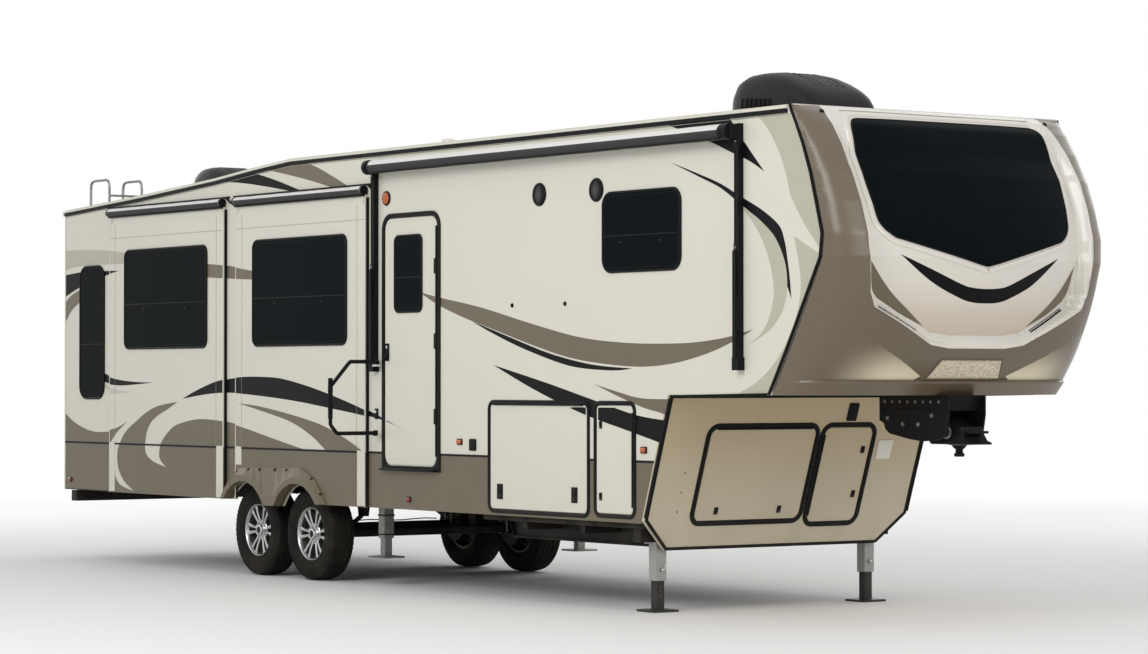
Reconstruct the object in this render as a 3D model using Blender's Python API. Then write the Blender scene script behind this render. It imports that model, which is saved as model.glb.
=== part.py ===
# Fifth wheel travel trailer, modelled at its real size in metres.
# +X points forward to the hitch, +Y to the street side, -Y to the curb side with the entry door, +Z up.
# Inside the model x is measured from the rear wall and z from the ground.  At the end the whole
# trailer is moved so that the middle of its footprint stands over the world origin.

from math import acos, asin, cos, hypot, pi, radians, sin, sqrt, tan

import bmesh
import bpy
from mathutils import Matrix, Vector
from mathutils.geometry import delaunay_2d_cdt

GAP = 0.0003                 # between pieces that touch
RUN = 0.006                  # round a piece that moves

# Body shell
HALF_WIDTH = 1.22
WALL = 0.040
ROOF_THICK = 0.045
SKIRT_Z = 0.64
DECK_Z = 1.56                # underside of the raised front deck
DECK_THICK = 0.045
FLOOR_TOP = 0.955
FLOOR_THICK = 0.055
BASEMENT_TOP = 0.655
STEP_X = 7.06                # where the floor drops into the basement
REAR_OVERHANG = 0.06
# Roof line, rear to front: x, z of the top skin
ROOF_LINE = ((0.0, 3.25), (1.5, 3.325), (2.9, 3.41), (3.55, 3.465), (4.2, 3.51))
ROOF_END = 10.84
# Leaning nose wall under the deck
NOSE_X = 9.19                # its outer face at skirt height
NOSE_LEAN = 0.348            # forward lean per metre of height
NOSE_THICK = 0.036
NOSE_SLANT = sqrt(1 + NOSE_LEAN ** 2)
NOSE_BOTTOM = 0.44
NOSE_CLIP = 0.24             # lower corners are cut off by this much

# Front cap: height z, seam on the side walls, foremost point on the centre line
CAP_ROWS = (
    (1.56, 10.61, 11.12),
    (1.645, 10.664, 11.215),
    (1.66, 10.674, 11.19),
    (1.80, 10.76, 11.30),
    (1.88, 10.81, 11.35),
    (2.02, 10.893, 11.415),
    (2.15, 10.967, 11.466),
    (2.30, 11.055, 11.495),
    (2.48, 11.16, 11.505),
    (2.64, 11.18, 11.49),
    (2.85, 11.12, 11.43),
    (3.05, 11.06, 11.34),
    (3.25, 10.98, 11.20),
    (3.39, 10.91, 11.07),
    (3.48, 10.86, 10.95),
    (3.52, 10.841, 10.86),
)
CAP_WALL = 0.035
CAP_ROUND = 3.2              # how square the cap's shoulders are in plan
# Sunk field round the window, right half from the bottom centre up: share of the half width, z
FIELD = ((0.0, 1.877), (0.205, 1.877), (0.344, 1.90), (0.770, 2.15), (0.807, 2.25), (0.836, 2.55),
         (0.852, 3.10), (0.828, 3.44))
FIELD_ROUND = 1.8            # the field is rounder in plan than the shoulders
FIELD_BACK = 0.045           # and its middle lies this far behind them
FIELD_STEP = 0.06            # width of the slope down into it
FIELD_TOP = 3.42             # the brow over the window, where the field runs out
FIELD_BROW = 0.25
FIELD_COLUMNS = 4            # columns of faces in half the field and in each shoulder
SHOULDER_COLUMNS = 6
# Cap window, right half from the top centre down: share of the half width, z
CAP_WINDOW = ((0.0, 3.425), (0.648, 3.425), (0.693, 3.405), (0.713, 3.35), (0.725, 3.05), (0.705, 2.775),
              (0.672, 2.68), (0.615, 2.625), (0.0, 2.44))
CAP_PANE_PITCH = 0.17        # between the points inside the curved pane

# Slide-out rooms: name, side, rear and front edge of the flange
SLIDES = (
    ("slide_room_rear", -1, 0.96, 3.10),
    ("slide_room_middle", -1, 3.31, 5.44),
    ("slide_room_street", 1, 3.31, 5.44),
)
SLIDE_TOP = 3.155
SLIDE_FLANGE = 0.022
SLIDE_LIP = 0.06             # how far the flange covers the wall round the opening
SLIDE_BOX_BOTTOM = 0.975
SLIDE_BOX_WALL = 0.03
SLIDE_DEPTH = 0.86
TOPPER_RADIUS = 0.034
RUNNER_END = 0.25            # from a slide room's side to the block it runs on
RUNNER_HALF, RUNNER_EDGE, RUNNER_REACH = 0.03, 0.02, 0.30

# Windows in walls and slide rooms: name, side, rear x, front x, bottom z, top z, corner radius
WALL_WINDOWS = (
    ("rear_side_window", -1, 0.32, 0.81, 1.49, 2.72, 0.12),
    ("bedroom_window", -1, 8.69, 9.63, 2.44, 3.02, 0.06),
    ("street_kitchen_window", 1, 6.35, 7.45, 2.05, 2.75, 0.06),
    ("street_bedroom_window", 1, 8.69, 9.63, 2.44, 3.02, 0.06),
)
SLIDE_WINDOWS = (
    ("slide_room_rear_window", 1.27, 2.81, 1.945, 2.84, 0.07),
    ("slide_room_middle_window", 3.62, 5.155, 1.95, 2.85, 0.07),
    ("slide_room_street_window", 3.62, 5.155, 1.95, 2.85, 0.07),
)
REAR_WINDOW = (-0.42, 0.84, 1.95, 2.75, 0.07)
PANE_PROUD = 0.010
PANE_LIP = 0.014
PANE_DEPTH = 0.022

# Entry door opening and its leaf
DOOR_X0, DOOR_X1, DOOR_Z0, DOOR_Z1 = 5.70, 6.465, 0.985, 2.95
DOOR_ROUND = 0.09
DOOR_WINDOW = (5.85, 6.25, 2.20, 2.81, 0.05)

# Baggage doors: name, side, rear x, front x, bottom z, top z, hinge edge
BAGGAGE_DOORS = (
    ("baggage_door_large", -1, 7.22, 8.49, 0.69, 1.48, "top"),
    ("baggage_door_small", -1, 8.61, 9.06, 0.70, 1.48, "front"),
    ("baggage_door_street", 1, 7.22, 8.49, 0.69, 1.48, "top"),
)
# Nose doors: name, curb-most and street-most y, bottom z, top z, hinge edge
NOSE_DOORS = (
    ("nose_door_large", -0.79, 0.175, 0.65, 1.315, "top"),
    ("nose_door_small", 0.26, 0.715, 0.62, 1.315, "curb"),
)
DOOR_CORNER = 0.03
HINGE_RADIUS = 0.008
HINGE_STAND = 0.009          # axis of a hinge outside the skin
HINGE_LENGTH = 0.05
HINGE_SIDES = 8
HINGE_REACH = 0.022         # of a hinge leaf over the skin
HINGE_END = 0.05            # from a door's corner to its row of hinges

# Wheels
AXLE_Z = 0.385               # height of the axles in the body's measure; taller tyres lift it off the ground
WHEEL_INSET = 0.175          # of the wheels' middle from the skin
HUB_INSET = 0.29              # of the axles' ends
RAIL_INSET = 0.39             # of the chassis rails
WHEEL_Y = HALF_WIDTH - WHEEL_INSET
HUB_FACE = HALF_WIDTH - HUB_INSET
RAIL_Y = HALF_WIDTH - RAIL_INSET
TYRE_RADIUS = 0.385
GROUND = AXLE_Z - TYRE_RADIUS
TYRE_WIDTH = 0.235
TYRE_SPACE = 0.115           # between the two tyres of a side
RIM_RADIUS = 0.215
RIM_WIDTH = 0.185
RIM_FACE = 0.062             # outer side of the spokes from the wheel's middle
WHEEL_SEGMENTS = 24
SPOKE_PAIRS = 6
SPOKE_THICK = 0.030
RIM_LAND = 0.038             # from the pockets to the rim's edge
# Pockets between the spokes: turn and width as shares of a pair's angle, inner radius
POCKETS = ((0.0, 0.50, 0.085), (0.5, 0.13, 0.115))
# Arches over the wheels and the flare round them
ARCH_GAP = 0.035             # from the tyre's tread to the arch
ARCH_RADIUS = TYRE_RADIUS + ARCH_GAP
ARCH_STEPS = 7
DIP_Z = 0.606                # lowest point of the panel between two arches
DIP_HALF = 0.05              # and the least half width it keeps there
# Outer edge of the flare, from the skirt to the skirt: wheel, angle, distance from the arch
FLARE_EDGE = ((0, 180.0, 0.059), (0, 124.6, 0.090), (0, 102.8, 0.123), (1, 86.9, 0.131), (1, 62.9, 0.108),
              (1, 45.8, 0.082), (1, 0.0, 0.080))
FLARE_SPACE = 0.010          # from the rear slide-out room to the flare
FLARE_REACH = sqrt((ARCH_RADIUS + FLARE_EDGE[0][2]) ** 2 - (SKIRT_Z - AXLE_Z) ** 2)
WHEEL_REAR_X = SLIDES[0][3] + FLARE_SPACE + FLARE_REACH
WHEEL_X = (WHEEL_REAR_X, WHEEL_REAR_X + 2 * TYRE_RADIUS + TYRE_SPACE)
FLARE_RIDGE = 0.07           # from the arch to the flare's highest line
FLARE_OUT = 0.05             # of that line from a slide room's skin
FLARE_LIP = 0.010            # thickness of the flare's outer edge
FLARE_STEP = 0.002           # of the flare over the lower edge of the panel that it is fixed to

# Chassis
RAIL_WIDE = 0.06
RAIL_WEB = 0.012
RAIL_FLANGE = 0.014
RAIL_BOTTOM = 0.70
RAIL_REAR = 0.05
DROP_RUN = 0.10              # length of the slope where the rails drop to the basement
CROSS_INSET = 0.06           # of the cross-members' ends from the skin
CROSS_WIDE = 0.05
CROSS_DEEP = 0.06
CROSS_X = (0.15, 1.10, 2.05, 3.00, 4.95, 5.90, 6.85)
FRONT_CROSS_X = (7.60, 8.35)
BUMPER_REAR, BUMPER_FRONT, BUMPER_LOW, BUMPER_HIGH = 0.02, 0.12, 0.53, 0.63
AXLE_RADIUS = 0.040
DRUM_RADIUS = 0.150
DRUM_DEEP = 0.056
DRUM_OFF = 0.012             # from the drum to the axle's end
STUB_RADIUS = 0.055
SPRING_SEAT = 0.050          # top of the seat over the axle's middle
SPRING_REACH, SPRING_RISE, SPRING_THICK, SPRING_HALF = 0.335, 0.12, 0.028, 0.0225
EQUALISER_LAP = 0.033        # of the equaliser over the springs' eyes
EQUALISER_HALF_Z = 0.03
HANGER_HALF = 0.029
LEG_X = 9.02
LEG_INSET = 0.245
LEG_Y = HALF_WIDTH - LEG_INSET
LEG_TOP = 0.50
LEG_SLEEVE = 0.22            # z where a leg's outer tube ends
JACK_X = 5.30
JACK_INSET = 0.26
JACK_Y = HALF_WIDTH - JACK_INSET
JACK_BAR = 0.08              # depth of the cross-member over the jacks
JACK_BOTTOM = 0.22
JACK_SLEEVE = 0.38
LEG_TUBE = 0.045             # half the width of the outer tube
LEG_RAM = 0.034              # of the inner one
LEG_HEAD = 0.07
LEG_FOOT = 0.115
FOOT_THICK = 0.014

# Awning on the curb side
AWNING_X0, AWNING_X1, AWNING_Z = 5.62, 10.27, 3.365
AWNING_RADIUS = 0.055
AWNING_OUT = 0.095           # axis of the roller outside the skin
ARM_SPACE = 0.045            # from an end of the roller to the middle of its arm
ARM_X = (AWNING_X0 - ARM_SPACE, AWNING_X1 + ARM_SPACE)
ARM_BOTTOM = 1.75
ARM_TOP = 3.42
ARM_HALF = 0.022             # half the width of an arm's channel
ARM_DEEP = 0.045
STRUT_TOP = 2.55             # top of the gas strut on the arm

# Assist handle beside the door
HANDLE_X = 5.635
HANDLE_Z0, HANDLE_Z1 = 1.24, 1.81
HANDLE_REACH = 0.42
HANDLE_TUBE = 0.016
HANDLE_OUT = 0.05

# Roof equipment: name, rear x, front x, half width, height
AIR_CONDITIONERS = (
    ("air_conditioner_rear", 0.72, 1.46, 0.31, 0.36),
    ("air_conditioner_front", 9.02, 9.96, 0.36, 0.40),
)
ROOF_VENTS = (("roof_vent_rear", 6.42, 6.80, 0.19, 0.12), ("roof_vent_front", 8.02, 8.40, 0.19, 0.12))
# Cover of an air conditioner: share of height, how far the nose and the sides draw in
COVER_ROWS = ((0.0, 0.0, 0.0), (0.10, 0.0, 0.0), (0.62, 0.05, 0.045), (0.92, 0.13, 0.085), (1.0, 0.20, 0.14))
VENT_ROWS = ((0.0, 0.0, 0.0), (0.25, 0.0, 0.0), (0.26, 0.02, 0.02), (0.8, 0.03, 0.03), (1.0, 0.06, 0.06))
COVER_SLOPE = 0.22           # how much lower an air conditioner is toward its nose

# Ladder on the rear wall
LADDER_INSET, LADDER_HALF = 0.50, 0.17
LADDER_Y = LADDER_INSET - HALF_WIDTH
LADDER_TUBE = 0.0125
LADDER_OUT = 0.13
LADDER_LOW = 1.02
LADDER_HOOP = 0.30           # height of the hoops over the roof
LADDER_LANDING = 0.25        # where the hoops stand on the roof
LADDER_BEND = 0.07
LADDER_RUNGS = 7
LADDER_STAY_Z = 2.2

# Tail lamps: insets of the outer and inner edge, bottom z, top z
LAMP_OUTER, LAMP_INNER, LAMP_Z0, LAMP_Z1 = 0.07, 0.20, 0.86, 1.20
LAMP_PROUD = 0.022

# Pin box, side view: x, z
PIN_BOX_SIDE = ((10.528, DECK_Z), (11.25, DECK_Z), (11.25, 1.426), (11.225, 1.30), (11.17, 1.262), (11.10, 1.25),
                (10.98, 1.243), (10.84, 1.257), (10.633, 1.294), (10.59, 1.325), (10.575, 1.365), (10.528, 1.384))
PIN_BOX_CORE = ((10.55, DECK_Z), (11.20, DECK_Z), (11.18, 1.455), (10.95, 1.445), (10.90, 1.33),
                (10.66, 1.33), (10.61, 1.39))
PIN_BOX_HALF = 0.17
CHEEK_THICK = 0.012
PIN_HEAD_SIDE = ((10.97, 1.245), (10.97, 1.415), (11.02, 1.42), (11.20, 1.34), (11.29, 1.344), (11.31, 1.293),
                 (11.34, 1.252), (11.385, 1.237), (11.385, 1.225), (10.99, 1.225))
PIN_HEAD_BOTTOM = 1.225
PIN_HEAD_HALF = 0.10
PIVOT_X, PIVOT_Z, PIVOT_RADIUS = 11.16, 1.305, 0.03
KING_PIN_X = 11.167
KING_PIN_RADIUS = 0.036
KING_PIN_BOTTOM = 1.14

# Finishes: name, colour, roughness, metallic
FINISHES = {
    "cream": ((0.66, 0.64, 0.58), 0.35, 0.0),
    "taupe": ((0.17, 0.14, 0.10), 0.4, 0.0),
    "white": ((0.80, 0.77, 0.71), 0.2, 0.0),
    "tan": ((0.38, 0.32, 0.22), 0.3, 0.0),
    "black": ((0.015, 0.015, 0.017), 0.45, 0.0),
    "glass": ((0.008, 0.010, 0.012), 0.06, 0.0),
    "roof": ((0.62, 0.60, 0.55), 0.8, 0.0),
    "steel": ((0.03, 0.03, 0.032), 0.5, 0.8),
    "galvanised": ((0.45, 0.46, 0.47), 0.45, 1.0),
    "aluminium": ((0.72, 0.73, 0.74), 0.28, 1.0),
    "rubber": ((0.02, 0.02, 0.02), 0.85, 0.0),
    "wood": ((0.32, 0.22, 0.13), 0.7, 0.0),
    "charcoal": ((0.035, 0.033, 0.036), 0.6, 0.0),
}


# Clearing and placing

def clear_scene():
    for thing in list(bpy.data.objects):
        bpy.data.objects.remove(thing, do_unlink=True)


def make_root():
    root = bpy.data.objects.new("trailer", None)
    bpy.context.scene.collection.objects.link(root)
    return root


def material(name, finish):
    colour, roughness, metallic = FINISHES[finish]
    made = bpy.data.materials.new(name)
    made.use_nodes = True
    shader = made.node_tree.nodes["Principled BSDF"]
    shader.inputs["Base Color"].default_value = (*colour, 1.0)
    shader.inputs["Roughness"].default_value = roughness
    shader.inputs["Metallic"].default_value = metallic
    made.diffuse_color = (*colour, 1.0)
    return made


def to_object(bm, name):
    """Turn a bmesh into a linked object with outward faces."""
    bmesh.ops.remove_doubles(bm, verts=bm.verts, dist=1e-6)
    bmesh.ops.recalc_face_normals(bm, faces=bm.faces)
    mesh = bpy.data.meshes.new(name)
    bm.to_mesh(mesh)
    bm.free()
    made = bpy.data.objects.new(name, mesh)
    bpy.context.scene.collection.objects.link(made)
    return made


def dress(piece, finish, smooth_under=None):
    """Give a piece its own material and, on round pieces, smooth shading."""
    piece.data.materials.clear()
    piece.data.materials.append(material(piece.name, finish))
    if smooth_under:
        piece.data.shade_smooth()
        piece.data.set_sharp_from_angle(angle=radians(smooth_under))
    return piece


def hang(piece, origin=(0.0, 0.0, 0.0)):
    """Parent a piece to the trailer with its origin at the given point."""
    origin = Vector(origin)
    piece.data.transform(Matrix.Translation(-origin))
    piece.location = origin
    piece.parent = bpy.data.objects["trailer"]
    return piece


def stand(piece, location):
    """Parent a piece that was made about its own centre."""
    piece.location = location
    piece.parent = bpy.data.objects["trailer"]
    return piece


def combine(pieces, operation, name):
    """Boolean the later pieces onto the first and bake the result into it."""
    base, tools = pieces[0], pieces[1:]
    for tool in tools:
        cut = base.modifiers.new("combine", "BOOLEAN")
        cut.operation = operation
        cut.solver = "EXACT"
        cut.object = tool
    bpy.context.view_layer.update()
    baked = bpy.data.meshes.new_from_object(base.evaluated_get(bpy.context.evaluated_depsgraph_get()))
    base.modifiers.clear()
    base.data = baked
    for tool in tools:
        bpy.data.objects.remove(tool, do_unlink=True)
    base.name = name
    baked.name = name
    return base


def fuse(name, pieces):
    return combine(pieces, "UNION", name)


def carve(name, pieces):
    return combine(pieces, "DIFFERENCE", name)


# Outlines in a plane

def rounded(u0, u1, v0, v1, radius, steps=4):
    """Rectangle with round corners, counter-clockwise."""
    points = []
    corners = ((u1 - radius, v0 + radius, -90), (u1 - radius, v1 - radius, 0),
               (u0 + radius, v1 - radius, 90), (u0 + radius, v0 + radius, 180))
    for cu, cv, start in corners:
        for step in range(steps + 1):
            angle = radians(start + 90 * step / steps)
            points.append((cu + radius * cos(angle), cv + radius * sin(angle)))
    return points


def circle(radius, sides, cu=0.0, cv=0.0, turn=0.0):
    return [(cu + radius * cos(turn + 2 * pi * k / sides), cv + radius * sin(turn + 2 * pi * k / sides))
            for k in range(sides)]


def mirrored(points):
    """Right half of a shape from top to bottom centre, made whole."""
    left = [(-u, v) for u, v in reversed(points) if u > 0]
    return list(points) + left


# Maps from a flat outline (u, v) and a depth w into the trailer

def on_side(side):
    """u along the trailer, v up, w inward from the outer skin."""
    return lambda u, v, w: (u, side * (HALF_WIDTH - w), v)


def on_rear(u, v, w):
    return (w, u, v)


def on_nose(u, v, w):
    """u across, v up the leaning nose wall, w square to it from its outer face."""
    return (NOSE_X + NOSE_LEAN * (v - SKIRT_Z) - w / NOSE_SLANT, u, v + NOSE_LEAN * w / NOSE_SLANT)


def on_ground(u, v, w):
    return (u, v, w)


def on_profile(u, v, w):
    """u along the trailer, v up, w across."""
    return (u, w, v)


def across(u, v, w):
    """Seen from the front: u across, v up, w forward."""
    return (w, u, v)


# Solids

def clipped(path, x0, x1):
    """The part of a rear-to-front path between two x, with its ends on them."""
    kept = []
    for (xa, za), (xb, zb) in zip(path, path[1:]):
        for x in (x0, x1):
            if xa < x < xb:
                kept.append((x, za + (zb - za) * (x - xa) / (xb - xa)))
        if x0 <= xb <= x1:
            kept.append((xb, zb))
    if x0 <= path[0][0] <= x1:
        kept.insert(0, path[0])
    return sorted(kept)


def walk(path, share):
    """Point at a share of a path's length."""
    lengths = [hypot(xb - xa, zb - za) for (xa, za), (xb, zb) in zip(path, path[1:])]
    left = share * sum(lengths)
    for length, (xa, za), (xb, zb) in zip(lengths, path, path[1:]):
        if left <= length:
            return xa + (xb - xa) * left / length, za + (zb - za) * left / length
        left -= length
    return path[-1]


def smooth(t):
    """Soft step from 0 to 1."""
    t = max(0.0, min(1.0, t))
    return t * t * (3 - 2 * t)


def spread(low, high, pitch):
    """Even places between two ends, about a pitch apart."""
    count = max(2, round((high - low) / pitch))
    return [low + (high - low) * k / count for k in range(1, count)]


def encloses(loop, u, v):
    """Whether a closed outline goes round a point."""
    inside = False
    for (u0, v0), (u1, v1) in zip(loop, loop[1:] + loop[:1]):
        if (v0 > v) != (v1 > v) and u < u0 + (u1 - u0) * (v - v0) / (v1 - v0):
            inside = not inside
    return inside


def triangles(loops, inside=()):
    """Even triangles between an outline and its holes, as indices into their points and the inside ones."""
    loops = [list(loop) for loop in loops]
    points = [Vector(point) for loop in loops for point in loop] + [Vector(point) for point in inside]
    edges = []
    for loop in loops:
        start = len(edges)
        edges += [(start + k, start + (k + 1) % len(loop)) for k in range(len(loop))]
    _, _, faces, sources, _, _ = delaunay_2d_cdt(points, edges, [], 0, 1e-7)
    kept = []
    for face in faces:
        corners = [sources[k][0] for k in face]
        u = sum(points[k].x for k in corners) / 3
        v = sum(points[k].y for k in corners) / 3
        if sum(encloses(loop, u, v) for loop in loops) == 1:
            kept.append(corners)
    return kept


def plate(name, outline, w0, w1, place, holes=()):
    """Flat panel with any holes, from depth w0 to depth w1."""
    loops = [list(outline)] + [list(hole) for hole in holes]
    flat = [Vector(point) for loop in loops for point in loop]
    faces = triangles(loops)
    bm = bmesh.new()
    near = [bm.verts.new(place(p.x, p.y, w0)) for p in flat]
    far = [bm.verts.new(place(p.x, p.y, w1)) for p in flat]
    for a, b, c in faces:
        bm.faces.new((near[a], near[b], near[c]))
        bm.faces.new((far[c], far[b], far[a]))
    start = 0
    for loop in loops:
        count = len(loop)
        for k in range(count):
            a, b = start + k, start + (k + 1) % count
            bm.faces.new((near[a], near[b], far[b], far[a]))
        start += count
    return to_object(bm, name)


def curved_plate(name, outline, w0, w1, place, pitch):
    """Plate over a curved skin, with points every pitch inside its outline."""
    columns, rows = ([point[axis] for point in outline] for axis in (0, 1))
    inside = []
    for u in spread(min(columns), max(columns), pitch):
        for v in spread(min(rows), max(rows), pitch):
            near = [(u + du, v + dv) for du in (-pitch / 3, pitch / 3) for dv in (-pitch / 3, pitch / 3)]
            if all(encloses(outline, *point) for point in near):
                inside.append((u, v))
    points = list(outline) + inside
    bm = bmesh.new()
    near, far = ([bm.verts.new(place(u, v, w)) for u, v in points] for w in (w0, w1))
    for a, b, c in triangles([outline], inside):
        bm.faces.new((near[a], near[b], near[c]))
        bm.faces.new((far[c], far[b], far[a]))
    for k in range(len(outline)):
        n = (k + 1) % len(outline)
        bm.faces.new((near[k], near[n], far[n], far[k]))
    return to_object(bm, name)


def stepped_plug(name, face, plug, w0, w1, w2, place):
    """Panel whose wide face runs from w0 to w1 and whose narrower plug runs on to w2."""
    bm = bmesh.new()
    rings = []
    for outline, w in ((face, w0), (face, w1), (plug, w1), (plug, w2)):
        rings.append([bm.verts.new(place(u, v, w)) for u, v in outline])
    for low, high in zip(rings, rings[1:]):
        for k in range(len(low)):
            n = (k + 1) % len(low)
            bm.faces.new((low[k], low[n], high[n], high[k]))
    for ring, outline in ((rings[0], face), (rings[-1], plug)):
        for a, b, c in triangles([outline]):
            bm.faces.new((ring[a], ring[b], ring[c]))
    return to_object(bm, name)


def block(name, x0, x1, y0, y1, z0, z1):
    return plate(name, ((x0, y0), (x1, y0), (x1, y1), (x0, y1)), z0, z1, on_ground)


def rod(name, start, end, radius, sides=16):
    """Round bar between two points."""
    start, end = Vector(start), Vector(end)
    turn = (end - start).to_track_quat("Z", "Y").to_matrix()
    bm = bmesh.new()
    rings = [[bm.verts.new(point + turn @ Vector((u, v, 0.0))) for u, v in circle(radius, sides)]
             for point in (start, end)]
    for k in range(sides):
        n = (k + 1) % sides
        bm.faces.new((rings[0][k], rings[0][n], rings[1][n], rings[1][k]))
    bm.faces.new(rings[0])
    bm.faces.new(rings[1])
    return to_object(bm, name)


def turned(name, profile, segments, closed=True):
    """Ring turned about the y axis; the profile lists radius and y."""
    bm = bmesh.new()
    rings = []
    for k in range(segments):
        angle = 2 * pi * k / segments
        rings.append([bm.verts.new((r * cos(angle), y, r * sin(angle))) for r, y in profile])
    count = len(profile)
    for k in range(segments):
        here, there = rings[k], rings[(k + 1) % segments]
        for i in range(count if closed else count - 1):
            n = (i + 1) % count
            bm.faces.new((here[i], here[n], there[n], there[i]))
    if not closed:
        bm.faces.new([ring[0] for ring in rings])
        bm.faces.new([ring[-1] for ring in rings])
    return to_object(bm, name)


def bent_path(points, radius, steps=5):
    """A path with each inner corner rounded."""
    points = [Vector(p) for p in points]
    path = [points[0]]
    for before, corner, after in zip(points, points[1:], points[2:]):
        a = (before - corner).normalized()
        b = (after - corner).normalized()
        reach = radius / tan(acos(max(-1.0, min(1.0, a.dot(b)))) / 2)
        start, end = corner + a * reach, corner + b * reach
        for step in range(steps + 1):
            t = step / steps
            path.append((1 - t) ** 2 * start + 2 * t * (1 - t) * corner + t ** 2 * end)
    path.append(points[-1])
    return path


def tube(name, path, radius, sides=10):
    """Solid round bar swept along a path."""
    path = [Vector(p) for p in path]
    bm = bmesh.new()
    rings = []
    side = None
    for k, point in enumerate(path):
        ahead = (path[min(k + 1, len(path) - 1)] - path[max(k - 1, 0)]).normalized()
        if side is None:
            side = ahead.orthogonal().normalized()
        side = (side - ahead * side.dot(ahead)).normalized()
        up = ahead.cross(side)
        rings.append([bm.verts.new(point + side * u + up * v) for u, v in circle(radius, sides)])
    for low, high in zip(rings, rings[1:]):
        for k in range(sides):
            n = (k + 1) % sides
            bm.faces.new((low[k], low[n], high[n], high[k]))
    bm.faces.new(rings[0])
    bm.faces.new(rings[-1])
    return to_object(bm, name)


# Shared lines of the body

def roof_top():
    return [(-REAR_OVERHANG, ROOF_LINE[0][1])] + list(ROOF_LINE) + [(ROOF_END - GAP, ROOF_LINE[-1][1])]


def roof_height(x):
    line = roof_top()
    for (x0, z0), (x1, z1) in zip(line, line[1:]):
        if x <= x1:
            return z0 + (z1 - z0) * (x - x0) / (x1 - x0)
    return line[-1][1]


def cap_at(z):
    """Seam x and foremost x of the cap at height z."""
    for (z0, s0, f0), (z1, s1, f1) in zip(CAP_ROWS, CAP_ROWS[1:]):
        if z <= z1:
            t = (z - z0) / (z1 - z0)
            return s0 + (s1 - s0) * t, f0 + (f1 - f0) * t
    return CAP_ROWS[-1][1:]


def nose_back(z):
    return NOSE_X + NOSE_LEAN * (z - SKIRT_Z) - NOSE_THICK * NOSE_SLANT - GAP


def slide_box(rear, front):
    """Outline of the part of a slide room that passes through the wall."""
    return rear + SLIDE_LIP, front - SLIDE_LIP, SLIDE_BOX_BOTTOM, SLIDE_TOP - SLIDE_LIP


def wheel_arches():
    """Lower edge of a panel over both wheels, from rear to front: x, z."""
    low = asin((SKIRT_Z - AXLE_Z) / ARCH_RADIUS)
    reach = (WHEEL_X[1] - WHEEL_X[0]) / 2 - DIP_HALF
    dip = max(asin((DIP_Z - AXLE_Z) / ARCH_RADIUS), acos(min(1.0, reach / ARCH_RADIUS)))
    path = []
    for x, start, end in ((WHEEL_X[0], pi - low, dip), (WHEEL_X[1], pi - dip, low)):
        for step in range(ARCH_STEPS + 1):
            angle = start + (end - start) * step / ARCH_STEPS
            path.append((x + ARCH_RADIUS * cos(angle), AXLE_Z + ARCH_RADIUS * sin(angle)))
    return path


def flare_edge():
    """Outer edge of the flare, from rear to front, both ends on the skirt's lower edge: x, z."""
    path = []
    for wheel, angle, distance in FLARE_EDGE:
        radius = ARCH_RADIUS + distance
        low = asin((SKIRT_Z - AXLE_Z) / radius)
        angle = max(low, min(pi - low, radians(angle)))
        path.append((WHEEL_X[wheel] + radius * cos(angle), AXLE_Z + radius * sin(angle)))
    return path


# Walls, roof and floors

def side_wall(name, side):
    top = [(x, roof_height(x) - ROOF_THICK - GAP) for x, _ in ROOF_LINE]
    seam = [(s - GAP, z) for z, s, _ in CAP_ROWS if DECK_Z < z < ROOF_LINE[-1][1] - ROOF_THICK - 0.02]
    wall_top = ROOF_LINE[-1][1] - ROOF_THICK - GAP
    outline = [(0.0, SKIRT_Z)] + wheel_arches()
    outline += [(nose_back(SKIRT_Z), SKIRT_Z), (nose_back(DECK_Z), DECK_Z), (cap_at(DECK_Z)[0] - GAP, DECK_Z)]
    outline += seam
    outline.append((cap_at(wall_top)[0] - GAP, wall_top))
    outline += reversed(top)
    holes = []
    for _, room_side, rear, front in SLIDES:
        if room_side == side:
            x0, x1, z0, z1 = slide_box(rear, front)
            holes.append([(x0 - RUN, z0 - RUN), (x1 + RUN, z0 - RUN), (x1 + RUN, z1 + RUN), (x0 - RUN, z1 + RUN)])
    for _, window_side, x0, x1, z0, z1, radius in WALL_WINDOWS:
        if window_side == side:
            holes.append(rounded(x0 + PANE_LIP, x1 - PANE_LIP, z0 + PANE_LIP, z1 - PANE_LIP, radius - PANE_LIP))
    for _, door_side, x0, x1, z0, z1, _ in BAGGAGE_DOORS:
        if door_side == side:
            holes.append(rounded(x0 - RUN, x1 + RUN, z0 - RUN, z1 + RUN, DOOR_CORNER + RUN, 2))
    if side < 0:
        holes.append(rounded(DOOR_X0 - RUN, DOOR_X1 + RUN, DOOR_Z0 - RUN, DOOR_Z1 + RUN, DOOR_ROUND + RUN))
    wall = plate(name, outline, 0.0, WALL, on_side(side), holes)
    slide_rear = min(rear for _, room_side, rear, front in SLIDES if room_side == side and front > WHEEL_X[0])
    return fuse(name, [wall, flare(side, 0.0, slide_rear - RUN, 0.0)])


def rear_wall():
    half = HALF_WIDTH - WALL - GAP
    y0, y1, z0, z1, radius = REAR_WINDOW
    hole = rounded(y0 + PANE_LIP, y1 - PANE_LIP, z0 + PANE_LIP, z1 - PANE_LIP, radius - PANE_LIP)
    top = roof_height(0.0) - ROOF_THICK - GAP
    wall = plate("rear_wall", ((-half, SKIRT_Z), (half, SKIRT_Z), (half, top), (-half, top)),
                 0.0, WALL, on_rear, [hole])
    lamps = []
    for side in (-1, 1):
        y = sorted((side * (HALF_WIDTH - LAMP_OUTER), side * (HALF_WIDTH - LAMP_INNER)))
        lamps.append(plate("lamp", rounded(*y, LAMP_Z0, LAMP_Z1, 0.03, 3), -LAMP_PROUD, WALL / 4, on_rear))
    return fuse("rear_wall", [wall] + lamps)


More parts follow.
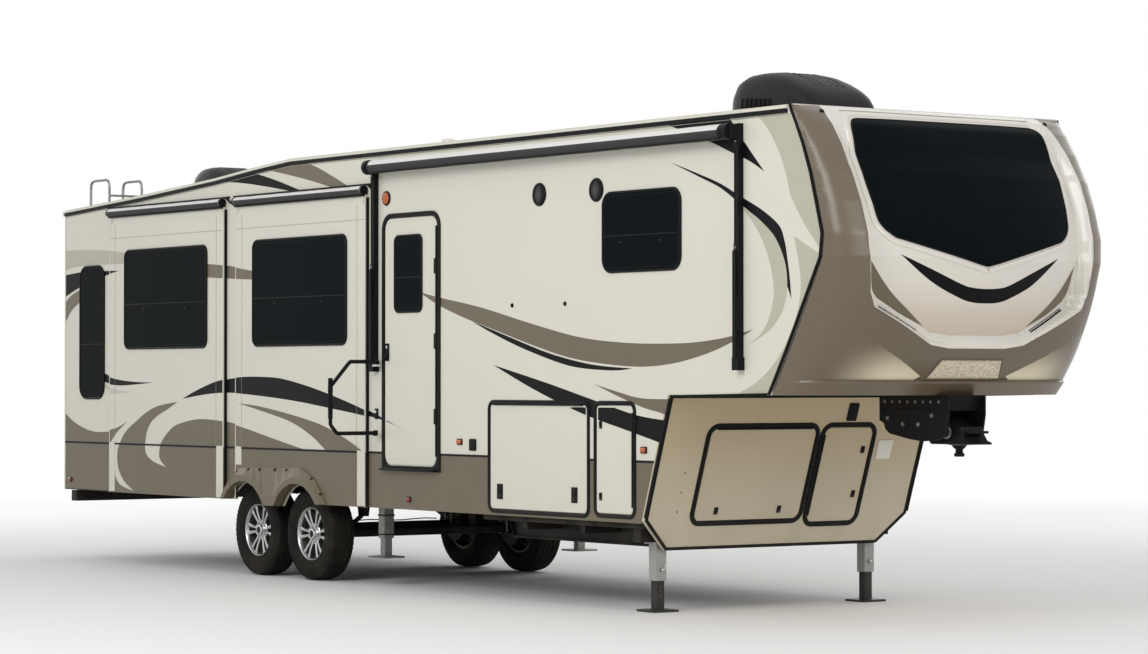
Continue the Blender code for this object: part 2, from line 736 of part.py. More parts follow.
def roof():
    top = roof_top()
    under = [(x, z - ROOF_THICK) for x, z in reversed(top)]
    return plate("roof", top + under, -HALF_WIDTH, HALF_WIDTH, on_profile)


def main_floor():
    half = HALF_WIDTH - WALL - GAP
    low = BASEMENT_TOP - FLOOR_THICK
    rear = WALL + GAP
    end = nose_back(low) - GAP
    riser = STEP_X + FLOOR_THICK
    deck = DECK_Z - GAP
    profile = ((rear, FLOOR_TOP - FLOOR_THICK), (STEP_X, FLOOR_TOP - FLOOR_THICK), (STEP_X, low), (end, low),
               (end, BASEMENT_TOP), (riser, BASEMENT_TOP), (riser, deck), (STEP_X, deck),
               (STEP_X, FLOOR_TOP), (rear, FLOOR_TOP))
    floor = plate("main_floor", profile, -half, half, on_profile)
    runners = [floor]
    for _, side, slide_rear, slide_front in SLIDES:
        x0, x1, z0, _ = slide_box(slide_rear, slide_front)
        for x in (x0 + RUNNER_END, x1 - RUNNER_END):
            y = sorted((side * (half - RUNNER_EDGE), side * (half - RUNNER_REACH)))
            runners.append(block("runner", x - RUNNER_HALF, x + RUNNER_HALF, *y, FLOOR_TOP - 0.01, z0 - GAP))
    return fuse("main_floor", runners)


def deck_floor():
    """Bedroom floor over the basement, shaped to the inside of the cap."""
    half = HALF_WIDTH - WALL - GAP
    seam = cap_at(DECK_Z)[0]
    front = [(x, y) for x, y in cap_plan(DECK_Z, CAP_WALL + 2 * GAP) if x > seam + GAP]
    outline = [(STEP_X, -half), (seam - 2 * GAP, -half)] + front + [(seam - 2 * GAP, half), (STEP_X, half)]
    return plate("deck_floor", outline, DECK_Z, DECK_Z + DECK_THICK, on_ground)


def nose_wall():
    """Leaning wall, level at its top and bottom, with its door openings cut square to it."""
    half = HALF_WIDTH
    low = NOSE_BOTTOM
    outline = ((-half + NOSE_CLIP, low), (half - NOSE_CLIP, low), (half, SKIRT_Z + 0.02),
               (half, DECK_Z - GAP), (-half, DECK_Z - GAP), (-half, SKIRT_Z + 0.02))
    bm = bmesh.new()
    near, far = ([bm.verts.new((nose_back(z) + GAP + shift, y, z)) for y, z in outline]
                 for shift in (NOSE_THICK * NOSE_SLANT, 0.0))
    for k in range(len(outline)):
        n = (k + 1) % len(outline)
        bm.faces.new((near[k], near[n], far[n], far[k]))
    bm.faces.new(near)
    bm.faces.new(far)
    cutters = [plate("opening", rounded(y0 - RUN, y1 + RUN, z0 - RUN, z1 + RUN, DOOR_CORNER + RUN, 2),
                     -NOSE_THICK, 2 * NOSE_THICK, on_nose) for _, y0, y1, z0, z1, _ in NOSE_DOORS]
    return carve("nose_wall", [to_object(bm, "nose_wall")] + cutters)


# Front cap

def shoulder_at(y, z, inset=0.0):
    """x of the cap's skin, or of a line inside it, without its sunk field."""
    seam, nose = cap_at(z)
    share = min(1.0, abs(y) / (HALF_WIDTH - inset))
    return seam + max(nose - inset - seam, 0.004) * (1 - share ** CAP_ROUND) ** (1 / CAP_ROUND)


def full_size(line):
    """Line on the cap with its shares of the half width made into y."""
    return [(HALF_WIDTH * share, z) for share, z in line]


def field_sink(y, z):
    """How far the skin round the window lies behind the cap's shoulders."""
    y = abs(y)
    edge = full_size(FIELD)
    inside = min(((yb - ya) * (z - za) - (zb - za) * (y - ya)) / hypot(yb - ya, zb - za)
                 for (ya, za), (yb, zb) in zip(edge, edge[1:]))
    seam, nose = cap_at(z)
    round_share = (1 - (y / HALF_WIDTH) ** FIELD_ROUND) ** (1 / FIELD_ROUND)
    depth = shoulder_at(y, z) - seam - (nose - FIELD_BACK - seam) * round_share
    return depth * smooth(inside / FIELD_STEP) * smooth((FIELD_TOP - z) / FIELD_BROW)


def cap_skin(y, z, w=0.0):
    """Point of the cap at y, z and a depth w behind its skin."""
    return (shoulder_at(y, z) - field_sink(y, z) - w, y, z)


def field_half(z):
    """Half width of the field at height z."""
    edge = full_size(FIELD)[1:]
    for (ya, za), (yb, zb) in zip(edge, edge[1:]):
        if z <= zb:
            return ya + (yb - ya) * max(0.0, z - za) / (zb - za)
    return edge[-1][0]


def cap_columns(z):
    """y of the cap's columns at height z, with one on each side of the field's edge."""
    edge = field_half(z)
    foot = edge - FIELD_STEP
    start = asin((edge / HALF_WIDTH) ** (CAP_ROUND / 2))
    right = [foot * k / FIELD_COLUMNS for k in range(FIELD_COLUMNS + 1)]
    for k in range(SHOULDER_COLUMNS + 1):
        angle = start + (pi / 2 - start) * k / SHOULDER_COLUMNS
        right.append(HALF_WIDTH * sin(angle) ** (2 / CAP_ROUND))
    return [-y for y in reversed(right[1:])] + right


def cap_plan(z, inset):
    """Plan of the cap at height z as x, y from curb to street side."""
    scale = (HALF_WIDTH - inset) / HALF_WIDTH
    return [(shoulder_at(y * scale, z, inset) - field_sink(min(HALF_WIDTH, abs(y)), z), y * scale)
            for y in cap_columns(z)]


def front_cap():
    """Moulded shell with its sunk field, cut out for the window."""
    bm = bmesh.new()
    top = CAP_ROWS[-1][0]
    shells = []
    for inset in (0.0, CAP_WALL):
        shells.append([[bm.verts.new((x, y, min(z, top - inset / 2))) for x, y in cap_plan(z, inset)]
                       for z, _, _ in CAP_ROWS])
    outer, inner = shells
    last = len(outer[0]) - 1
    for rows in shells:
        for low, high in zip(rows, rows[1:]):
            for k in range(last):
                bm.faces.new((low[k], low[k + 1], high[k + 1], high[k]))
    for row in (0, -1):
        for k in range(last):
            bm.faces.new((outer[row][k], outer[row][k + 1], inner[row][k + 1], inner[row][k]))
    for end in (0, last):
        for low, high, low_in, high_in in zip(outer, outer[1:], inner, inner[1:]):
            bm.faces.new((low[end], high[end], high_in[end], low_in[end]))
    shell = to_object(bm, "front_cap")
    cutter = plate("cutter", mirrored(shrunk(full_size(CAP_WINDOW), PANE_LIP)), ROOF_END, ROOF_END + 1.0, across)
    return carve("front_cap", [shell, cutter])


def shrunk(points, by):
    """The right half of an outline, drawn in by a small amount."""
    middle = sum(v for _, v in points) / len(points)
    return [(max(0.0, u - by) if u else 0.0, v + (by if v < middle else -by)) for u, v in points]


def cap_window():
    """Pane that follows the field of the cap, on the line of its opening."""
    outline = mirrored(shrunk(full_size(CAP_WINDOW), PANE_LIP + GAP))
    return curved_plate("cap_window", outline, -PANE_PROUD, PANE_DEPTH, cap_skin, CAP_PANE_PITCH)


# Windows

def pane(name, u0, u1, v0, v1, radius, place, skin=0.0):
    face = rounded(u0, u1, v0, v1, radius)
    lip = PANE_LIP + GAP
    plug = rounded(u0 + lip, u1 - lip, v0 + lip, v1 - lip, radius - lip)
    return stepped_plug(name, face, plug, skin - PANE_PROUD, skin - GAP, skin + PANE_DEPTH, place)


# Doors and their hinges

def hinge_halves(start, direction, out, inward, count, span):
    """Knuckles of a row of hinges: one list for the fixed side and one for the leaf.

    start is one end of the axis, direction runs along it, out points away from the skin and
    inward points from the axis over the leaf.  Each hinge has two knuckles end to end."""
    start, direction = Vector(start), Vector(direction).normalized()
    out, inward = Vector(out).normalized(), Vector(inward).normalized()
    fixed, leaf = [], []
    for k in range(count):
        middle = start + direction * span * (k + 0.5) / count
        for pieces, sign in ((fixed, -1), (leaf, 1)):
            near = middle + direction * sign * GAP / 2
            far = middle + direction * sign * HINGE_LENGTH
            pieces.append(rod("knuckle", near, far, HINGE_RADIUS, HINGE_SIDES))
            pieces.append(leaf_plate(near, far, out, inward * sign))
    return fixed, leaf


def leaf_plate(near, far, out, side):
    """Flat leaf from the knuckle down onto the skin it is screwed to."""
    bm = bmesh.new()
    depth = HINGE_STAND + 0.012
    corners = []
    for end in (near, far):
        for across_by, in_by in ((0.0, 0.0), (HINGE_REACH, HINGE_STAND - 0.003), (HINGE_REACH, depth),
                                 (0.0, depth - 0.008)):
            corners.append(bm.verts.new(end + side * across_by - out * in_by))
    for face in ((0, 1, 2, 3), (4, 5, 6, 7), (0, 1, 5, 4), (1, 2, 6, 5), (2, 3, 7, 6), (3, 0, 4, 7)):
        bm.faces.new([corners[k] for k in face])
    return to_object(bm, "leaf")


def door_leaf(name, u0, u1, v0, v1, radius, place, thick, hole=None):
    """Leaf as thick as its wall, standing in its opening with a running gap."""
    return plate(name, rounded(u0, u1, v0, v1, radius, 2 if radius < 0.05 else 4), 0.0, thick, place,
                 [hole] if hole else ())


# Slide-out rooms

def fascia_outline(x0, x1, z0, z1):
    """Rectangle whose lower edge follows the wheel arches where it meets them."""
    arches = clipped(wheel_arches(), x0, x1)
    ends = [x for x, _ in arches[:1] + arches[-1:]]
    corners = [(x, z0) for x in (x0, x1) if x not in ends]
    return sorted(corners + arches) + [(x1, z1), (x0, z1)]


def flare(side, x0, x1, skin):
    """Moulded band round both wheel arches, as much of it as lies between x0 and x1, on a skin of that depth."""
    arch = wheel_arches()
    edge = [(x, z + FLARE_STEP) for x, z in flare_edge()]
    place = on_side(side)
    face = -(RUN + SLIDE_FLANGE)
    base = skin + SLIDE_FLANGE / 4
    bm = bmesh.new()
    rings = []
    for k, (x, z) in enumerate(arch):
        z += FLARE_STEP
        far_x, far_z = walk(edge, k / (len(arch) - 1))
        share = min(0.7, FLARE_RIDGE / hypot(far_x - x, far_z - z))
        ridge = (x + (far_x - x) * share, z + (far_z - z) * share)
        section = ((far_x, far_z, base), (far_x, far_z, face - FLARE_LIP), (*ridge, face - FLARE_OUT),
                   (x, z, face - FLARE_OUT), (x, z, base))
        rings.append([bm.verts.new(place(*point)) for point in section])
    count = len(rings[0])
    for low, high in zip(rings, rings[1:]):
        for k in range(count):
            n = (k + 1) % count
            bm.faces.new((low[k], low[n], high[n], high[k]))
    bm.faces.new(rings[0])
    bm.faces.new(rings[-1])
    pieces = [to_object(bm, "flare")]
    far = edge[-1][0]
    for end, beyond in ((x0, 0.0), (x1, 2 * far)):
        if edge[0][0] < end < far:
            y = sorted((0.0, side * 2 * HALF_WIDTH))
            pieces.append(block("beyond", *sorted((end, beyond)), *y, 0.0, DECK_Z))
    return carve("flare", pieces) if len(pieces) > 1 else pieces[0]


def slide_room(name, side, rear, front, window):
    """Fascia with its window, and the box behind it, open toward the cabin."""
    place = on_side(side)
    _, wx0, wx1, wz0, wz1, radius = window
    lip = PANE_LIP
    hole = rounded(wx0 + lip, wx1 - lip, wz0 + lip, wz1 - lip, radius - lip)
    skin = -(RUN + SLIDE_FLANGE)
    fascia = plate(name, fascia_outline(rear, front, SKIRT_Z, SLIDE_TOP), skin, -RUN, place, [hole])
    flares = [flare(side, rear, front, skin)] if rear < WHEEL_X[0] < front else []
    x0, x1, z0, z1 = slide_box(rear, front)
    wall = SLIDE_BOX_WALL
    outer = ((x0, z0), (x1, z0), (x1, z1), (x0, z1))
    inner = ((x0 + wall, z0 + wall), (x1 - wall, z0 + wall), (x1 - wall, z1 - wall), (x0 + wall, z1 - wall))
    box = plate("box", outer, skin + SLIDE_FLANGE / 2, SLIDE_DEPTH, place, [inner])
    topper_z = SLIDE_TOP + TOPPER_RADIUS + 0.004
    out = side * (HALF_WIDTH - skin + TOPPER_RADIUS * 0.3)
    roller = rod("roller", (rear + 0.01, out, topper_z), (front - 0.01, out, topper_z), TOPPER_RADIUS, 12)
    ears = [block("ear", x - 0.015, x + 0.015, *sorted((side * (HALF_WIDTH + RUN + 0.002), out)),
                  SLIDE_TOP - 0.06, topper_z) for x in (rear + 0.035, front - 0.035)]
    return fuse(name, [fascia, box, roller] + ears + flares)


# Wheels and running gear

def tyre(name):
    half = TYRE_WIDTH / 2
    tread = half * 0.80
    right = [(TYRE_RADIUS, tread * 0.62), (TYRE_RADIUS - 0.010, tread), (TYRE_RADIUS * 0.90, half * 0.97),
             (TYRE_RADIUS * 0.74, half), (RIM_RADIUS + GAP, RIM_WIDTH / 2 - 0.0125)]
    profile = right + [(radius, -y) for radius, y in reversed(right)]
    return turned(name, profile, WHEEL_SEGMENTS)


def rim(name, side):
    """Barrel, hub and a face with pairs of spokes, about the wheel's centre."""
    half = RIM_WIDTH / 2
    flange = RIM_RADIUS + 0.008
    thin = 0.012
    inner = RIM_RADIUS - thin
    barrel = turned("barrel", [(flange, half), (RIM_RADIUS, half - 0.010), (RIM_RADIUS, -half + 0.010),
                               (flange, -half), (inner, -half), (inner, half)], WHEEL_SEGMENTS)
    holes = []
    step = 2 * pi / SPOKE_PAIRS
    for k in range(SPOKE_PAIRS):
        for turn, wide, foot in POCKETS:
            holes.append(spoke_pocket((k + turn) * step, step * wide, foot, RIM_RADIUS - RIM_LAND))
    disc = circle(RIM_RADIUS - thin / 2, WHEEL_SEGMENTS, turn=pi / WHEEL_SEGMENTS)
    face = plate("face", disc, side * (RIM_FACE - SPOKE_THICK), side * RIM_FACE, on_profile, holes)
    hub_in = HUB_FACE + GAP - WHEEL_Y
    profile = ((0.058, hub_in), (0.058, RIM_FACE + 0.004), (0.045, RIM_FACE + 0.03), (0.030, RIM_FACE + 0.034))
    hub = turned("hub", [(radius, side * y) for radius, y in profile], 16, closed=False)
    return fuse(name, [barrel, face, hub])


def spoke_pocket(angle, spread, inner, outer):
    """Opening between spokes: narrower at the hub than at the rim."""
    points = []
    for radius, share in ((inner, 0.55), (outer, 1.0)):
        ends = (-1, 0, 1) if radius == outer else (1, -1)
        for end in ends:
            points.append((radius * cos(angle + end * spread * share / 2),
                           radius * sin(angle + end * spread * share / 2)))
    return points[::-1]


def axle(name):
    """Tube with a brake drum and a spring seat at each end, about its own middle."""
    drum = HUB_FACE - DRUM_OFF
    half = [(STUB_RADIUS, HUB_FACE), (STUB_RADIUS, drum), (DRUM_RADIUS, drum), (DRUM_RADIUS, drum - DRUM_DEEP),
            (AXLE_RADIUS, drum - DRUM_DEEP)]
    profile = half + [(radius, -y) for radius, y in reversed(half)]
    pieces = [turned("tube", profile, 20, closed=False)]
    for side in (-1, 1):
        y = sorted((side * (RAIL_Y - HANGER_HALF), side * (RAIL_Y + HANGER_HALF)))
        pieces.append(block("seat", -0.05, 0.05, *y, AXLE_RADIUS / 2, SPRING_SEAT))
    return fuse(name, pieces)


def leaf_spring(x, y, base):
    """Stack of leaves that rises from the axle to both eyes."""
    steps = 6
    under, over = [], []
    for k in range(-steps, steps + 1):
        t = k / steps
        under.append((x + SPRING_REACH * t, base + SPRING_RISE * t * t))
        over.append((x + SPRING_REACH * t, base + SPRING_RISE * t * t + SPRING_THICK * (1.25 - 0.75 * abs(t))))
    return plate("spring", under + over[::-1], y - SPRING_HALF, y + SPRING_HALF, on_profile)


def suspension(name, side):
    """Two springs with the equaliser between them, hung from the rail by three hangers."""
    y = side * RAIL_Y
    base = AXLE_Z + SPRING_SEAT + GAP
    pieces = [leaf_spring(x, y, base) for x in WHEEL_X]
    eye_z = base + SPRING_RISE + 0.015
    middle = (WHEEL_X[0] + WHEEL_X[1]) / 2
    top = RAIL_BOTTOM - GAP
    half = middle - WHEEL_X[0] - SPRING_REACH + EQUALISER_LAP
    low, high = eye_z - EQUALISER_HALF_Z, eye_z + EQUALISER_HALF_Z
    pieces.append(plate("equaliser", ((middle - half, low), (middle + half, low), (middle + half - 0.04, high),
                                      (middle - half + 0.04, high)), y - 0.016, y + 0.016, on_profile))
    for x in (WHEEL_X[0] - SPRING_REACH, middle, WHEEL_X[1] + SPRING_REACH):
        pieces.append(plate("hanger", ((x - 0.07, top), (x - 0.035, eye_z - 0.035), (x + 0.035, eye_z - 0.035),
                                       (x + 0.07, top)), y - HANGER_HALF, y + HANGER_HALF, on_profile))
    return fuse(name, pieces)


def leg(name, x, y, top, bottom, sleeve):
    """Square outer tube that ends at the height of sleeve, inner tube and foot plate."""
    parts = []
    for label, half, low, high in (("outer", LEG_TUBE, sleeve, top - FOOT_THICK / 2),
                                   ("head", LEG_HEAD, top - FOOT_THICK, top),
                                   ("inner", LEG_RAM, bottom + FOOT_THICK / 2, sleeve + LEG_TUBE)):
        parts.append(block(label, x - half, x + half, y - half, y + half, low, high))
    foot = rounded(x - LEG_FOOT, x + LEG_FOOT, y - LEG_FOOT, y + LEG_FOOT, 0.02, 2)
    parts.append(plate("foot", foot, bottom, bottom + FOOT_THICK, on_ground))
    return fuse(name, parts)


def main_rail(side):
    """I-beam that drops to the basement floor in front of the step."""
    floor_under = FLOOR_TOP - FLOOR_THICK - GAP
    base_under = BASEMENT_TOP - FLOOR_THICK - GAP
    step = STEP_X - GAP
    front = nose_back(NOSE_BOTTOM) - 0.02
    drop = NOSE_BOTTOM + 0.01
    low = [(RAIL_REAR, RAIL_BOTTOM), (step - DROP_RUN - RAIL_WIDE, RAIL_BOTTOM), (step - RAIL_WIDE, drop),
           (front, drop)]
    high = [(front, base_under), (step, base_under), (step, floor_under), (RAIL_REAR, floor_under)]
    flanges = [low + [(x, z + RAIL_FLANGE) for x, z in reversed(low)]]
    for x0, x1, z in ((RAIL_REAR, step, floor_under), (step - RAIL_FLANGE, front, base_under)):
        flanges.append(((x0, z - RAIL_FLANGE), (x1, z - RAIL_FLANGE), (x1, z), (x0, z)))
    y = side * RAIL_Y
    pieces = [plate("web", low + high, y - RAIL_WEB / 2, y + RAIL_WEB / 2, on_profile)]
    half = RAIL_WIDE / 2
    return pieces + [plate("flange", outline, y - half, y + half, on_profile) for outline in flanges]


def chassis():
    """Main rails, cross-members and rear bumper."""
    floor_under = FLOOR_TOP - FLOOR_THICK - GAP
    base_under = BASEMENT_TOP - FLOOR_THICK - GAP
    outside = HALF_WIDTH - CROSS_INSET
    pieces = main_rail(-1) + main_rail(1)
    bars = [(x, CROSS_WIDE / 2, floor_under, CROSS_DEEP) for x in CROSS_X]
    bars += [(x, CROSS_WIDE / 2, base_under, CROSS_DEEP) for x in FRONT_CROSS_X]
    bars.append((LEG_X, LEG_TUBE, base_under, base_under - LEG_TOP))
    bars.append((JACK_X, LEG_TUBE, floor_under, JACK_BAR))
    for x, half, top, deep in bars:
        pieces.append(block("cross", x - half, x + half, -outside, outside, top - deep, top))
    pieces.append(block("bumper", BUMPER_REAR, BUMPER_FRONT, -outside, outside, BUMPER_LOW, BUMPER_HIGH))
    for side in (-1, 1):
        y = sorted((side * (RAIL_Y - RAIL_WIDE / 2), side * (RAIL_Y + RAIL_WIDE / 2)))
        pieces.append(block("bracket", RAIL_REAR, BUMPER_FRONT, *y, BUMPER_HIGH - 0.03, RAIL_BOTTOM + RAIL_FLANGE))
    return fuse("chassis_frame", pieces)


# Roof equipment

def roof_cover(name, x0, x1, half, height, rows, slope=0.0):
    """Moulded cover that stands on the roof, narrows upward and can be lower toward its nose."""
    bm = bmesh.new()
    rings = []
    for share, nose, inset in rows:
        ring = []
        for u, v in rounded(x0 + inset * 0.9, x1 - nose - inset * 0.5, -half + inset, half - inset, 0.09, 3):
            lower = slope * max(0.0, (u - x0) / (x1 - x0) - 0.45)
            ring.append(bm.verts.new((u, v, roof_height(u) + GAP + height * share * (1 - lower))))
        rings.append(ring)
    for low, high in zip(rings, rings[1:]):
        for k in range(len(low)):
            n = (k + 1) % len(low)
            bm.faces.new((low[k], low[n], high[n], high[k]))
    bm.faces.new(rings[0])
    bm.faces.new(rings[-1])
    return to_object(bm, name)


def rear_ladder():
    """Two rails with rungs; the rails bend over the roof edge into hoops."""
    top = roof_height(0.0)
    hoop = top + LADDER_HOOP
    landing = roof_height(LADDER_LANDING + LADDER_TUBE) + GAP
    sides = (LADDER_Y - LADDER_HALF, LADDER_Y + LADDER_HALF)
    pieces = []
    for y in sides:
        path = bent_path([(-GAP, y, LADDER_LOW), (-LADDER_OUT, y, LADDER_LOW), (-LADDER_OUT, y, hoop),
                          (LADDER_LANDING, y, hoop), (LADDER_LANDING, y, landing)], LADDER_BEND, 3)
        pieces.append(tube("rail", path, LADDER_TUBE, 6))
        pieces.append(rod("stay", (-GAP, y, LADDER_STAY_Z), (-LADDER_OUT, y, LADDER_STAY_Z), LADDER_TUBE * 0.8, 6))
    low, high = LADDER_LOW + 2 * LADDER_BEND, top - 0.10
    bars = [(-LADDER_OUT, low + (high - low) * k / (LADDER_RUNGS - 1)) for k in range(LADDER_RUNGS)]
    bars.append((LADDER_LANDING, top + LADDER_HOOP / 2))
    for x, z in bars:
        pieces.append(rod("rung", (x, sides[0], z), (x, sides[1], z), LADDER_TUBE * 0.9, 6))
    return fuse("rear_ladder", pieces)


# Hitch

def pin_box():
    """Two cheeks with a welded core between them, hung under the deck."""
    side, core = ([(x, min(z, DECK_Z - GAP)) for x, z in line] for line in (PIN_BOX_SIDE, PIN_BOX_CORE))
    inner = PIN_BOX_HALF - CHEEK_THICK
    cheeks = [plate("cheek", side, *sorted((s * PIN_BOX_HALF, s * inner)), on_profile) for s in (-1, 1)]
    return fuse("pin_box", cheeks + [plate("core", core, -inner - 0.004, inner + 0.004, on_profile)])


def pin_head():
    """Head that carries the king pin, held by a boss between the cheeks."""
    reach = PIN_BOX_HALF - CHEEK_THICK - GAP
    head = plate("head", PIN_HEAD_SIDE, -PIN_HEAD_HALF, PIN_HEAD_HALF, on_profile)
    boss = rod("boss", (PIVOT_X, -reach, PIVOT_Z), (PIVOT_X, reach, PIVOT_Z), PIVOT_RADIUS, 16)
    return fuse("pin_head", [head, boss])


def king_pin():
    """Pin with its waist and lower flange."""
    top = PIN_HEAD_BOTTOM - GAP
    bottom = KING_PIN_BOTTOM
    radius = KING_PIN_RADIUS
    waist, collar = radius * 0.72, radius * 1.5
    profile = ((0.030, bottom), (radius, bottom + 0.006), (radius, bottom + 0.022), (waist, bottom + 0.026),
               (waist, bottom + 0.052), (radius, bottom + 0.056), (collar, top - 0.006), (collar, top))
    bm = bmesh.new()
    sides = 24
    rings = [[bm.verts.new((KING_PIN_X + u, v, z)) for u, v in circle(r, sides)] for r, z in profile]
    for low, high in zip(rings, rings[1:]):
        for k in range(sides):
            n = (k + 1) % sides
            bm.faces.new((low[k], low[n], high[n], high[k]))
    bm.faces.new(rings[0])
    bm.faces.new(rings[-1])
    return to_object(bm, "king_pin")


# Awning and assist handle

def awning_roller():
    y = -(HALF_WIDTH + AWNING_OUT)
    return rod("awning_roller", (AWNING_X0, y, AWNING_Z), (AWNING_X1, y, AWNING_Z), AWNING_RADIUS, 20)


def awning_arm(name, x, toward):
    """Channel on the wall with a bracket that takes the end of the roller."""
    skin = -(HALF_WIDTH + GAP)
    out = -(HALF_WIDTH + AWNING_OUT)
    end = AWNING_X0 if toward > 0 else AWNING_X1
    pieces = []
    for label, half, near, far, low, high in (
            ("channel", ARM_HALF, 0.0, ARM_DEEP, ARM_BOTTOM, ARM_TOP),
            ("strut", ARM_HALF * 0.7, ARM_DEEP * 0.9, ARM_DEEP * 1.55, ARM_BOTTOM + 0.06, STRUT_TOP),
            ("foot", ARM_HALF * 1.5, 0.0, ARM_DEEP * 1.35, ARM_BOTTOM - 0.02, ARM_BOTTOM + 0.07),
            ("web", ARM_HALF * 0.9, 0.0, AWNING_OUT + 0.02, AWNING_Z - 0.05, AWNING_Z + 0.045)):
        pieces.append(block(label, x - half, x + half, skin - far, skin - near, low, high))
    pieces.append(rod("head", (x, out, AWNING_Z), (end - toward * GAP, out, AWNING_Z), AWNING_RADIUS + 0.004, 16))
    return fuse(name, pieces)


def assist_handle():
    """Loop that swings on a vertical pin beside the door, drawn swung straight out."""
    pivot_y = -(HALF_WIDTH + HANDLE_OUT)
    far = pivot_y - HANDLE_REACH
    path = bent_path([(HANDLE_X, pivot_y, HANDLE_Z0), (HANDLE_X, far + 0.06, HANDLE_Z0),
                      (HANDLE_X, far, HANDLE_Z0 + 0.07), (HANDLE_X, far, HANDLE_Z1 - 0.20),
                      (HANDLE_X, far + 0.18, HANDLE_Z1), (HANDLE_X, pivot_y, HANDLE_Z1)], 0.04, 3)
    loop = tube("loop", path, HANDLE_TUBE, 8)
    knuckles = [rod("knuckle", (HANDLE_X, pivot_y, z - 0.022), (HANDLE_X, pivot_y, z + 0.022), 0.019, 12)
                for z in (HANDLE_Z0, HANDLE_Z1)]
    return fuse("assist_handle", [loop] + knuckles)


def handle_brackets():
    """Brackets on the wall that the handle's knuckles stand on."""
    pivot_y = -(HALF_WIDTH + HANDLE_OUT)
    made = []
    for z in (HANDLE_Z0, HANDLE_Z1):
        made.append(block("bracket", HANDLE_X - 0.022, HANDLE_X + 0.022, pivot_y - 0.018, -HALF_WIDTH + 0.01,
                          z - 0.022 - GAP - 0.016, z - 0.022 - GAP))
    return made


# Assembly

def build_doors(curb, street, nose):
    """Make every hinged leaf and give its fixed knuckles to the wall it hangs on."""
    walls = {-1: [curb], 1: [street], "nose": [nose]}
    for name, side, x0, x1, z0, z1, edge in BAGGAGE_DOORS:
        leaf = door_leaf(name, x0, x1, z0, z1, DOOR_CORNER, on_side(side), WALL)
        out = (0, side, 0)
        y = side * (HALF_WIDTH + HINGE_STAND)
        if edge == "top":
            origin = (x0 + HINGE_END, y, z1 + RUN / 2)
            fixed, moving = hinge_halves(origin, (1, 0, 0), out, (0, 0, -1), 3, x1 - x0 - 2 * HINGE_END)
        else:
            origin = (x1 + RUN / 2, y, z0 + HINGE_END)
            fixed, moving = hinge_halves(origin, (0, 0, 1), out, (-1, 0, 0), 2, z1 - z0 - 2 * HINGE_END)
        walls[side] += fixed
        hang(dress(fuse(name, [leaf] + moving), "taupe"), origin)
    for name, y0, y1, z0, z1, edge in NOSE_DOORS:
        leaf = door_leaf(name, y0, y1, z0, z1, DOOR_CORNER, on_nose, NOSE_THICK)
        normal = Vector((1, 0, -NOSE_LEAN)).normalized()
        slope = Vector((NOSE_LEAN, 0, 1)).normalized()
        if edge == "top":
            edge_z = z1 + RUN / 2
            origin = Vector(on_nose(y0 + HINGE_END, edge_z, 0.0)) + normal * HINGE_STAND
            fixed, moving = hinge_halves(origin, (0, 1, 0), normal, -slope, 2, y1 - y0 - 2 * HINGE_END)
        else:
            origin = Vector(on_nose(y0 - RUN / 2, z0 + HINGE_END, 0.0)) + normal * HINGE_STAND
            run = (z1 - z0 - 2 * HINGE_END) * NOSE_SLANT
            fixed, moving = hinge_halves(origin, slope, normal, (0, 1, 0), 2, run)
        walls["nose"] += fixed
        hang(dress(fuse(name, [leaf] + moving), "tan"), origin)
    wx0, wx1, wz0, wz1, radius = DOOR_WINDOW
    lip = PANE_LIP
    hole = rounded(wx0 + lip, wx1 - lip, wz0 + lip, wz1 - lip, radius - lip)
    leaf = door_leaf("entry_door", DOOR_X0, DOOR_X1, DOOR_Z0, DOOR_Z1, DOOR_ROUND, on_side(-1), WALL, hole)
    origin = (DOOR_X1 + RUN / 2, -(HALF_WIDTH + HINGE_STAND), DOOR_Z0 + 2 * HINGE_END)
    fixed, moving = hinge_halves(origin, (0, 0, 1), (0, -1, 0), (-1, 0, 0), 3, DOOR_Z1 - DOOR_Z0 - 4 * HINGE_END)
    walls[-1] += fixed
    hang(dress(fuse("entry_door", [leaf] + moving), "cream"), origin)
    hang(dress(pane("entry_door_window", *DOOR_WINDOW, on_side(-1)), "glass"), origin)
    walls[-1] += handle_brackets()
    for name, pieces, finish in (("curb_side_wall", walls[-1], "cream"), ("street_side_wall", walls[1], "cream"),
                                 ("nose_wall", walls["nose"], "tan")):
        hang(dress(fuse(name, pieces), finish))


def build_body():
    build_doors(side_wall("curb_side_wall", -1), side_wall("street_side_wall", 1), nose_wall())
    hang(dress(rear_wall(), "cream"))
    hang(dress(roof(), "roof"))
    hang(dress(main_floor(), "wood"))
    hang(dress(deck_floor(), "wood"))
    hang(dress(front_cap(), "white", 35))
    hang(dress(cap_window(), "glass", 35))
    for name, side, x0, x1, z0, z1, radius in WALL_WINDOWS:
        hang(dress(pane(name, x0, x1, z0, z1, radius, on_side(side)), "glass"))
    hang(dress(pane("rear_window", *REAR_WINDOW, on_rear), "glass"))


def build_slides():
    for (name, side, rear, front), window in zip(SLIDES, SLIDE_WINDOWS):
        origin = ((rear + front) / 2, side * (HALF_WIDTH + RUN), SLIDE_BOX_BOTTOM)
        hang(dress(slide_room(name, side, rear, front, window), "cream"), origin)
        skin = -(RUN + SLIDE_FLANGE)
        _, x0, x1, z0, z1, radius = window
        hang(dress(pane(window[0], x0, x1, z0, z1, radius, on_side(side), skin), "glass"), origin)


